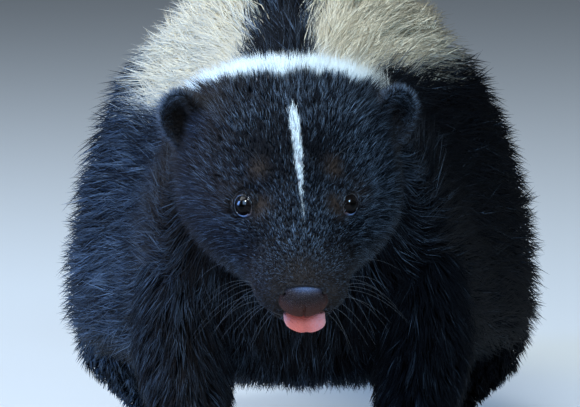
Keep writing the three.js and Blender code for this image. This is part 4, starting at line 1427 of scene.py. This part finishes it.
def trunk_lie(points):
    """Backwards and down. On the nape the hair stands up instead."""
    along = behind_eyes(points)
    nape = smoothstep(0.085, 0.05, along) * smoothstep(0.08, 0.12, points[..., 2])
    way = np.stack([0.4 * points[..., 0] / 0.08, 1 + 0 * along, -0.28 + 0.7 * nape], -1)
    calm = 0.2 + 0.8 * smoothstep(0.012, 0.035, np.abs(points[..., 0] + 0.004))
    return way + swirl(points, 0.045, 31) * calm[..., None]


def trunk_length(points):
    """Longest on the back and the rump, short on the belly and the throat."""
    return between(TRUNK_HAIR, behind_eyes(points)) * between(LOW_HAIR, points[..., 2])


def trunk_radius(points):
    """Thinner in front, where the coat is seen from close by."""
    return between(TRUNK_THICKNESS, behind_eyes(points))


def trunk_density(points):
    """Denser in front and thinner on the belly."""
    return between(TRUNK_DENSITY, behind_eyes(points)) * between(LOW_DENSITY, points[..., 2])


TRUNK_STYLE = coat_style(
    lie=trunk_lie, length=trunk_length, radius=trunk_radius, hairs=6, segments=2, profile=[0.8, 0.9],
    spread=0.0012, gather=0.5, wander=0.12, curl=0.10, stand=(0.72, 1.03), rise=1.6, straight=0.10,
    tilt=even(20), mark=0.8, blur=0.0012, contrast=0.16, paler=even(0.10))
roots = scatter(trunk, (0.022, 0.307), TRUNK_LOCKS, trunk_density, rng)
coat_triangles += coat_pieces("coat_trunk", [grown_coat(trunk, roots, TRUNK_STYLE, 22)], sort_by=1)

# %% Tail coat
# distance behind the eyes, length
TAIL_HAIR = np.array([[0.30, 0.030], [0.34, 0.055], [0.45, 0.075], [0.515, 0.045]])
TAIL_LOCKS = 1_700


def tail_lie(points):
    """Along the tail towards its tip."""
    step = 0.001
    rise = through(TAIL, behind_eyes(points) + step)[0] - through(TAIL, behind_eyes(points))[0]
    return np.stack([0 * rise, 1 + 0 * rise, rise / step], -1)


def tail_length(points):
    """Long, and shorter at both ends."""
    return between(TAIL_HAIR, behind_eyes(points))


TAIL_STYLE = coat_style(
    lie=tail_lie, length=tail_length, radius=even(0.00042), hairs=7, segments=3, profile=[0.6, 1.0, 0.7],
    spread=0.0014, gather=0.1, wander=0.10, curl=0.12, shortest=0.55, stand=(0.35, 1.02), rise=1.5,
    straight=0.0, tilt=even(0), blur=0.002, contrast=0.17, paler=even(0.05))
roots = scatter(tail, (0.300, TAIL_BONE_END), TAIL_LOCKS, even(1.0), rng)
coat_triangles += coat_pieces("coat_tail", [grown_coat(tail, roots, TAIL_STYLE, 23)], sort_by=1)

# %% Leg coats
LEG_HAIR = np.array([[0.012, 0.004], [0.03, 0.008], [0.06, 0.013], [0.1, 0.016]])  # height, length
LEGS = (("fore", FORE_LEG, 2000, 0.00017), ("hind", HIND_LEG, 1200, 0.00028))  # locks, thickness


def leg_length(points):
    """From 16 mm at the shoulder or hip to 4 mm at the ankle."""
    return between(LEG_HAIR, points[..., 2])


LEG_STYLE = coat_style(
    lie=towards((0, 0.35, -1)), length=leg_length, hairs=5, segments=2, profile=[0.8, 0.85], spread=0.0008,
    gather=0.5, wander=0.12, curl=0.08, shortest=0.65, stand=(0.7, 1.03), rise=1.5, straight=0.2,
    tilt=even(20), blur=0.001, contrast=0.14, paler=even(0.10), slack=0.0025)
for word, joints, locks, thickness in LEGS:
    style = {**LEG_STYLE, "radius": even(thickness)}
    for side_word, mirror in SIDES:
        surface = leg(joints, mirror)
        roots = scatter(surface, (0.12, 0.93), locks, even(1.0), rng)
        grown = grown_coat(surface, roots, style, 24)
        coat_triangles += coat_pieces(f"coat_{word}_leg_{side_word}", [grown])

# %% Foot coats
FOOT_STYLE = coat_style(
    lie=towards((0, -1, -0.3)), length=even(0.0034), radius=even(0.00016), spread=0.0004, contrast=0.2,
    slack=0.002)
INSTEP_LOCKS, TOE_LOCKS = 700, 110


def above_sole(points):
    """No hair grows on the sole."""
    return 1.0 * (points[..., 2] > 0.0045)


for word, foot in (("fore", FORE_FOOT), ("hind", HIND_FOOT)):
    for side_word, mirror in SIDES:
        surfaces = [(instep(foot, mirror), INSTEP_LOCKS, (0.02, 0.97))]
        surfaces += [(toe(foot, mirror, *one), TOE_LOCKS, (0.06, 0.9)) for one in zip(TOE_PLACES, TOE_BACK)]
        grown = [grown_coat(surface, scatter(surface, span, locks, above_sole, rng), FOOT_STYLE, 25)
                 for surface, locks, span in surfaces]
        coat_triangles += coat_pieces(f"coat_{word}foot_{side_word}", grown)

# %% [markdown]
# ## The ears' coat
# An ear is furred on both sides. The back and the rim carry short dense fur that runs up and over the
# edge, and the hollow holds longer, browner hair that springs from its front and lower edges.

# %% Ear coats
EAR_BASE = np.array([EAR["side"] - 0.004, EAR["back"] - 0.001, EAR["up"] - 0.009])
HOLLOW_LOCKS, RIM_LOCKS = 900, 2600


def ear_lie(points):
    """Away from the ear's base, towards the rim and over it."""
    local = to_head(points)
    mirror = np.sign(local[..., :1]) * [1, 0, 0] + [0, 1, 1]
    return unit(local - EAR_BASE * mirror) @ HEAD_TURN.T


def outer_rim_sheen(points):
    """Painted sheen: paler hair on the outer half of an ear, most on the right one, which the lamps light.
    """
    side = to_head(points)[..., 0]
    return (0.33 - 0.17 * np.sign(side)) * smoothstep(0.029, 0.035, np.abs(side))


HOLLOW_STYLE = coat_style(
    lie=ear_lie, length=even(0.0055), radius=even(0.00010), wander=0.5, shortest=0.5, stand=(0.6, 1.7),
    rise=1.0, straight=0.9, tilt=even(44), blur=0.0003, slack=0.0008)
# the rim's paler hair is painted sheen
RIM_STYLE = {**HOLLOW_STYLE, "length": even(0.0046), "radius": even(0.00011), "paler": outer_rim_sheen}
for side_word, mirror in SIDES:
    surface = ear(mirror)
    hollow = scatter(surface, (0.08, 0.90), HOLLOW_LOCKS, even(1.0), rng)
    rim = scatter(surface, (0.86, 1.9), RIM_LOCKS, even(1.0), rng)
    grown = [grown_coat(surface, hollow, HOLLOW_STYLE, 26), grown_coat(surface, rim, RIM_STYLE, 27)]
    coat_triangles += coat_pieces(f"coat_ear_{side_word}", grown)

print("coat:", coat_triangles, "triangles")

# %% [markdown]
# ## Wet and horny parts
# Eyes, lid rims, nose and tongue are glossy because they are wet. Eyes and nose get a clear coat over their
# colour, lid rims and tongue a smooth surface. The colours are worked out for each point of a piece.

# %% Painted pieces
def painted_material(name, roughness, level, coat=None, bump=None):
    """Colour from the points' own paint, and fine cells as bump: (scale, depth). A wet surface has a clear
    coat, (index, roughness), as strong as the paint's alpha."""
    finish = Finish(name)
    paint = finish.add("Attribute", attribute_name="paint").outputs
    inputs = {"Base Color": paint["Color"], "Roughness": roughness, "Specular IOR Level": level}
    if coat:
        inputs.update({"Coat IOR": coat[0], "Coat Roughness": coat[1], "Coat Weight": paint["Alpha"]})
    if bump:
        cells = finish.add("TexVoronoi", {"Vector": finish.place(), "Scale": bump[0]})
        height = {"Distance": bump[1], "Height": cells.outputs["Distance"]}
        normal = finish.add("Bump", height, invert=True).outputs["Normal"]
        inputs.update({"Normal": normal, "Coat Normal": normal})
    finish.feed(finish.shader, inputs)
    return finish.material


def piece_of(name, shell, colours, material, replaced=()):
    """A finished piece from a closed shell, its points' colours and a material, hung on the root. It hides
    the imported parts it replaces.
    """
    mesh = triangle_mesh(name, *outwards(*shell))
    values = np.ones((len(colours), 4))
    values[:, :colours.shape[1]] = colours
    set_colours(mesh, "paint", values)
    mesh.materials.append(material)
    piece = link(mesh, name)
    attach(piece, "root")
    if replaced:
        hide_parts(*replaced)


def blend(first, second, share):
    """Between two colours, or each point's colour and one other, by a share for each point."""
    share = np.asarray(share)[..., None]
    return np.asarray(first) * (1 - share) + np.asarray(second) * share


def with_ends(colours, first=None, last=None):
    """A grid's colours as a list, followed by those of the two end points that closed_grid adds."""
    first = colours[0, 0] if first is None else first
    last = colours[-1, 0] if last is None else last
    return np.concatenate([colours.reshape(-1, colours.shape[-1]), [first], [last]])


# %% Eyeballs
IRIS_DARK, IRIS_PALE, ROUND_IRIS = (0.003, 0.0022, 0.0022), (0.007, 0.0045, 0.004), (0.004, 0.003, 0.003)
EYE_FRONT, EYE_BEHIND = (0, 0, 0, 1), (0.01, 0.01, 0.01, 0)  # the two end points of its grid
PUPIL_EDGE, IRIS_EDGE = (0.24, 0.30), (0.55, 0.68)  # angles from the gaze, in radians
CORNEA_HEIGHT = 0.00028


def eye_point(mirror, theta, polar, radius):
    """A point at a distance from an eye's centre, by the angle from its gaze and the direction round it."""
    centre, axes = eye_frame(mirror)
    way = np.stack([np.sin(theta) * np.cos(polar), np.sin(theta) * np.sin(polar), np.cos(theta)], -1) @ axes
    return centre + radius[..., None] * way


def make_eyeball(word, mirror):
    """An eyeball with its cornea bulging over a dark streaked iris. Its clear coat is strongest in a band a
    little above the middle, where it catches the lamp that stands for the sky."""
    theta = np.concatenate([np.linspace(0.02, 1.0, 44), np.linspace(1.05, np.pi - 0.03, 20)])
    theta, polar = grid(theta, around(56))
    radius = EYEBALL_RADIUS + CORNEA_HEIGHT * smoothstep(0.7, 0.3, theta)
    points = from_head(eye_point(mirror, theta, polar, radius))
    streak = 0.5 + 0.5 * np.sin(23 * polar + 3 * np.sin(9 * polar))
    colour = blend(IRIS_DARK, IRIS_PALE, streak) * smoothstep(*PUPIL_EDGE, theta)[..., None]
    colour = blend(colour, ROUND_IRIS, smoothstep(*IRIS_EDGE, theta))
    rise = (points[..., 2] - from_head(eye_frame(mirror)[0])[2]) / EYEBALL_RADIUS
    wet = 0.04 + 0.80 * smoothstep(0.02, 0.26, rise) * (1 - 0.9 * smoothstep(0.38, 0.54, rise))
    colour = with_ends(np.concatenate([colour, wet[..., None]], -1), EYE_FRONT, EYE_BEHIND)
    piece_of(f"eyeball_{word}", closed_grid(points), colour, eye_material, [f"eye_{word}"])

# %% Lid rims
RIM_DARK, RIM_INNER = (0.008, 0.007, 0.008), (0.05, 0.026, 0.024)
# painted reflection: a pale shine and a blue one on the wet front of the rim
RIM_PALE_SHINE, RIM_TEAR_SHINE = (0.07, 0.07, 0.085), (0.20, 0.29, 0.52)
RIM_THICKNESS = 0.00030  # twice as much at the inner corner
RIM_LIFT = 0.00012  # over the eyeball
TEAR_SHINE_AT, PALE_SHINE_AT = 5.5, 3.4  # radians round the eye from its inner corner


def make_lid_rim(word, mirror):
    """The wet rim of the lids: a thin ring along their opening, thicker at the inner corner. A painted
    reflection of the sky lies on its wet front: pale near its outer corner and blue on its lower edge,
    where the tear line shines."""
    polar, turned = grid(around(96), around(10))
    inner = bell(np.arctan2(np.sin(polar), np.cos(polar)), 0.45)
    thick = RIM_THICKNESS + RIM_THICKNESS * inner
    theta = lid_edge(polar) * 0.99 + thick * np.cos(turned) / EYEBALL_RADIUS
    radius = EYEBALL_RADIUS + RIM_LIFT + 0.9 * thick * np.sin(turned)
    points = from_head(eye_point(mirror, theta, polar, radius))
    index = np.arange(polar.size).reshape(polar.shape)
    ahead = np.roll(index, -1, 0)
    faces = quads(index, ahead, np.roll(ahead, -1, 1), np.roll(index, -1, 1))
    # painted reflection on the rim's front: pale in one place, blue at the tear line
    front = smoothstep(0.2, 0.8, np.sin(turned))
    tear_shine = np.exp((np.cos(polar - TEAR_SHINE_AT) - 1) / 0.10) * front
    pale = 0.5 * np.exp((np.cos(polar - PALE_SHINE_AT) - 1) / 0.25) * front
    colour = blend(blend(blend(RIM_DARK, RIM_INNER, inner), RIM_PALE_SHINE, pale), RIM_TEAR_SHINE, tear_shine)
    shell = points.reshape(-1, 3), faces
    piece_of(f"lid_rim_{word}", shell, colour.reshape(-1, 3), rim_material)


eye_material = painted_material("eye", 0.05, 0.03, (1.75, 0.02))
rim_material = painted_material("lid_rim", 0.15, 0.5)
for word, mirror in SIDES:
    make_eyeball(word, mirror)
    make_lid_rim(word, mirror)

# %% Nose
NOSTRIL = np.array([0.0067, -0.0336, -0.0074])
NOSTRIL_HALF = (0.0009, 0.0014, 0.0015)
SLIT_OFFSET, SLIT_HALF = (0.0006, 0.0016, -0.0012), (0.0018, 0.0020, 0.0005)
PIT_DEPTH = 0.0023
WING_REACH, WING_WIDTH, WING_HEIGHT = 0.0024, 0.0006, 0.00030
GROOVE_WIDTH, GROOVE_DEPTH = 0.00035, 0.00045
NOSE_DARK, NOSE_RED = (0.018, 0.011, 0.011), (0.056, 0.018, 0.012)
# painted sheen of the sky on top, the fur's colour at the top edge, painted shade in the nostrils
NOSE_SHEEN, NOSE_FURRED, NOSTRIL_SHADE = (0.125, 0.185, 0.330), (0.010, 0.010, 0.012), (0.0005, 0.0005, 0.0005)
SHEEN_SIDE, SHEEN_WIDTH = 0.0008, 0.0036
SHEEN_SLOPE, SHEEN_SPREAD = 72, 18  # degrees from the muzzle's own direction


def make_nose():
    """The pad with a comma-shaped nostril at each upper corner, raised wings round them and a groove down
    its front. The sky's sheen on its upper side is painted, and the coat of wetness lies there. The
    nostrils' pits are painted near black, as shade."""
    points = nose_form(*grid(np.linspace(0.01, np.pi - 0.02, 130), around(200)))
    side, back, up = np.moveaxis(points, -1, 0)
    inward = unit(NOSE_MIDDLE - points)
    offset = mirrored(points) - NOSTRIL
    pit = bell(norm(offset / NOSTRIL_HALF), 1.0, 4)
    slit = bell(norm((offset - SLIT_OFFSET) / SLIT_HALF), 1.0, 4)
    wing = bell(norm(offset / [1.0, 1.0, 0.8]) - WING_REACH, WING_WIDTH)
    groove = bell(side, GROOVE_WIDTH) * smoothstep(-0.0335, -0.0355, back) * smoothstep(-0.0085, -0.0115, up)
    depth = PIT_DEPTH * np.maximum(pit, 0.6 * slit) - WING_HEIGHT * wing * (1 - pit) + GROOVE_DEPTH * groove
    points = points + inward * depth[..., None]
    side, back, up = np.moveaxis(points, -1, 0)
    slope = np.degrees(np.arctan2(-inward[..., 2], inward[..., 1]))
    sheen = bell(side - SHEEN_SIDE, SHEEN_WIDTH) * bell(slope - SHEEN_SLOPE, SHEEN_SPREAD)
    furred = smoothstep(-0.0334, -0.0322, back) * smoothstep(-0.0100, -0.0085, up)
    # painted shade in the nostrils' pits
    nostril_shade = np.clip(np.maximum(pit, slit) * 1.5, 0, 1)
    colour = blend(NOSE_DARK, NOSE_RED, smoothstep(-0.0080, -0.0125, up))
    for share, other in ((0.9 * sheen, NOSE_SHEEN), (furred, NOSE_FURRED), (nostril_shade, NOSTRIL_SHADE)):
        colour = blend(colour, other, share)
    wet = (0.10 + 0.5 * sheen) * (1 - nostril_shade) * (1 - furred)
    colour = with_ends(np.concatenate([colour, wet[..., None]], -1))
    material = painted_material("nose", 0.45, 0.03, (1.75, 0.15), (2600, 0.00042))
    piece_of("nose_pad", closed_grid(from_head(points)), colour, material, ["nose"])


make_nose()

# %% Tongue
TONGUE_ROUTE = np.array([
    # share of the length, forward, up
    [0.0, 0.0160, -0.0175], [0.27, 0.0240, -0.0170], [0.5, 0.0300, -0.0167], [0.68, 0.0336, -0.0178],
    [0.85, 0.0350, -0.0199], [1.0, 0.0354, -0.0223],
])
TONGUE = {"width": 0.0126, "thick": 0.0011, "full": 2.6, "side": 0.0006, "lean": 0.0006, "droop": 0.0007}
GROOVE = {"width": 0.0011, "depth": 0.0004, "notch": 0.0003}
STREAK_WIDTH = 0.00022  # of the fine lilac streaks, in each radian
# painted shade: the root is darker, for the shade under the nose
TONGUE_SHADED_ROOT, TONGUE_TIP = (0.36, 0.065, 0.048), (0.76, 0.150, 0.105)
# the last colour is painted shade along the middle groove
TONGUE_LILAC, TONGUE_EDGE, TONGUE_GROOVE_SHADE = (0.60, 0.27, 0.30), (0.78, 0.36, 0.33), (0.42, 0.09, 0.08)


def make_tongue():
    """A strap over the lower lip with a groove along its middle, rounded to two lobes at the tip. Its left
    side is a paler lilac, in fine streaks. It is painted darker towards its root, as the shade under the
    nose, and darker along the groove, as shade."""
    t, v = grid(np.linspace(0, 1, 90), around(90))
    step = 0.002
    forward, up = through(TONGUE_ROUTE, t)
    ahead = through(TONGUE_ROUTE, np.minimum(t + step, 1))
    behind = through(TONGUE_ROUTE, np.maximum(t - step, 0))
    along = unit(np.stack([ahead[0] - behind[0], ahead[1] - behind[1]], -1))
    end = np.sqrt(np.clip(1 - smoothstep(0.72, 1.0, t) ** 3.2, 0.0004, 1))
    width = 0.88 + 0.12 * smoothstep(0.4, 0.6, t) - 0.14 * smoothstep(0.7, 1.0, t)
    thick = TONGUE["thick"] * end ** 0.7
    half = TONGUE["width"] / 2 * width * end ** 0.8
    across, rise = ring(v, half, thick, thick, TONGUE["full"], TONGUE["full"])
    share = across / (TONGUE["width"] / 2)
    groove = bell(across, GROOVE["width"])
    edges = TONGUE["droop"] * np.abs(share) ** 2
    rise = rise - GROOVE["depth"] * groove * smoothstep(0.0, 0.5, t) - edges * smoothstep(0.3, 0.7, t)
    short = -GROOVE["notch"] * groove * smoothstep(0.75, 1.0, t)
    forward = forward + short * along[..., 0] - rise * along[..., 1]
    up = up + short * along[..., 1] + rise * along[..., 0]
    side = TONGUE["side"] + TONGUE["lean"] * smoothstep(0.6, 1.0, t) + across
    points = np.stack([side, -forward, up], -1)
    streak = 0.5 + 0.5 * np.sin(across / STREAK_WIDTH + 2 * np.sin(40 * t))
    lilac = 0.75 * smoothstep(-0.1, 0.8, share) * (0.6 + 0.4 * streak)
    # painted shade under the nose: darker towards the root
    colour = blend(TONGUE_SHADED_ROOT, TONGUE_TIP, smoothstep(0.45, 0.8, t))
    colour = blend(colour, TONGUE_LILAC, lilac)
    colour = blend(colour, TONGUE_EDGE, 0.5 * smoothstep(0.75, 0.95, np.abs(share)))
    # painted shade along the groove
    colour = blend(colour, TONGUE_GROOVE_SHADE, groove * 0.35)
    material = painted_material("tongue", 0.32, 0.45, None, (2600, 0.00020))
    shell = closed_grid(from_head(points))
    piece_of("tongue_strap", shell, with_ends(colour), material, ["tongue"])


make_tongue()

# %% [markdown]
# ## Claws and whiskers
# Both are horn: a claw is a ring of points that shrinks along a curve, and so is a whisker, much thinner.

# %% Claws
CLAWS = {"fore": (FORE_FOOT, 0.013, 0.0024), "hind": (HIND_FOOT, 0.008, 0.0022)}  # foot, length, thickness
CLAW_SHAPE = {"fan": 0.07, "hump": 0.0012, "drop": 0.0030, "taper": 0.86, "flatness": 0.75, "start": -0.0012}
CLAW_ROOT, CLAW_TIP = (0.045, 0.034, 0.028), (0.26, 0.21, 0.16)


def claw_grid(foot, length, thickness, place, back, mirror):
    """One claw from inside its toe to just over the floor, and how far along it each point is."""
    t, v = grid(np.linspace(0, 1, 20), around(14))
    radius = thickness / 2 * (1 - CLAW_SHAPE["taper"] * t ** 1.8)
    reach = CLAW_SHAPE["start"] + (length - CLAW_SHAPE["start"]) * t
    x = mirror * place * (TOE_SPREAD * foot["width"] + CLAW_SHAPE["fan"] * reach)
    x = x + CLAW_SHAPE["flatness"] * radius * np.cos(v)
    z = TOE_HEIGHT + CLAW_SHAPE["hump"] * np.sin(2.2 * t) - CLAW_SHAPE["drop"] * t * t
    z = z + radius * np.sin(v) * np.where(np.sin(v) > 0, 1, 0.8)
    y = -foot["length"] / 2 + back * foot["width"] - reach
    return foot_place(foot, mirror)(np.stack([x, y, z], -1)), t


claw_material = painted_material("claw", 0.36, 0.5)
for kind, (foot, length, thickness) in CLAWS.items():
    for word, mirror in SIDES:
        for i, (place, back) in enumerate(zip(TOE_PLACES, TOE_BACK), 1):
            points, t = claw_grid(foot, length, thickness, place, back, mirror)
            colour = with_ends(blend(CLAW_ROOT, CLAW_TIP, smoothstep(0.1, 0.95, t)))
            piece_of(f"claw_{kind}_{i}_{word}", closed_grid(points), colour, claw_material,
                     [f"{kind}_claw_{i}_{word}"])

# %% Whiskers
WHISKERS = np.array([
    # distance behind the eyes, angle round the muzzle in degrees, outward, back and up share, length
    [-0.0270, -14, 1.0, 0.30, -0.25, 0.017], [-0.0235, -16, 1.0, 0.35, -0.30, 0.021],
    [-0.0200, -17, 1.0, 0.45, -0.30, 0.023], [-0.0165, -18, 1.0, 0.55, -0.25, 0.022],
    [-0.0275, -28, 0.9, 0.20, -0.55, 0.014], [-0.0240, -30, 1.0, 0.30, -0.55, 0.018],
    [-0.0205, -32, 1.0, 0.40, -0.55, 0.020], [-0.0170, -33, 1.0, 0.50, -0.50, 0.020],
    [-0.0280, -45, 0.7, 0.15, -0.80, 0.011], [-0.0245, -46, 0.8, 0.25, -0.80, 0.014],
    [-0.0205, -48, 0.8, 0.35, -0.75, 0.015], [-0.0250, -2, 1.0, 0.40, 0.05, 0.013],
    [-0.0215, -3, 1.0, 0.50, 0.05, 0.016], [-0.0100, -12, 1.0, 0.70, -0.15, 0.017],
    [0.0060, 62, 0.5, 0.30, 0.90, 0.012], [0.0080, 58, 0.6, 0.35, 0.85, 0.011],
    [0.0100, -25, 1.0, 0.60, -0.30, 0.016],
])
WHISKER_RADIUS, WHISKER_RINGS = 0.000065, 15
WHISKER_COLOUR = (0.075, 0.08, 0.09)
SAG = np.array([0, 0.15, -1.0])  # back and down


def make_whiskers():
    """Long thin spikes from the muzzle, brows and cheeks, each sagging under its own weight by the square of
    the distance along it."""
    noise = np.random.default_rng(41)
    rows = np.concatenate([WHISKERS, WHISKERS])
    count = len(rows)
    mirror = np.repeat([1, -1], len(WHISKERS))
    back = rows[:, 0] + noise.normal(0, 0.0008, count)
    angle = np.radians(rows[:, 1] + noise.normal(0, 2.5, count))
    root = head(back, np.where(mirror > 0, angle, np.pi - angle), np.zeros(count))
    outward = rows[:, 2:5] * np.stack([mirror, 0 * mirror + 1, 0 * mirror + 1], -1)
    way = unit(outward + noise.normal(0, 0.12, (count, 3))) @ HEAD_TURN.T
    length = (rows[:, 5] * noise.uniform(0.8, 1.15, count))[:, None, None]
    s = np.linspace(-0.03, 1, WHISKER_RINGS + 1)[None, :, None]
    sag = noise.uniform(0.35, 0.75, count)[:, None, None]
    lines = root[:, None] + length * (s * way[:, None] + sag * s * np.abs(s) * SAG)
    upward = np.tile([0.0, 0.0, 1.0], (count, 1))
    profile = np.linspace(1, 0.3, WHISKER_RINGS)
    points, faces = spikes(lines, upward, np.full(count, WHISKER_RADIUS), profile)
    colours = np.tile(WHISKER_COLOUR, (points.shape[0] * points.shape[1], 1))
    material = painted_material("whisker", 0.35, 0.3)
    piece_of("whiskers", join_shells([(one, faces) for one in points]), colours, material)


make_whiskers()

# %% [markdown]
# ## The skin in place of the solids
# The skin stands for every furry solid of the imported model, so it takes their place.

# %% Finish
skin_parts = [
    "head", "lower_jaw", "ear_left", "ear_right", "neck", "chest", "loin", "rump",
    "tail_root", "tail_middle", "tail_tip",
]
for word, _ in SIDES:
    skin_parts += [f"{part}_{word}" for part in (
        "upper_arm", "forearm", "forefoot", "thigh", "shank", "hind_foot")]
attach(skin, "root")
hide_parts(*skin_parts)
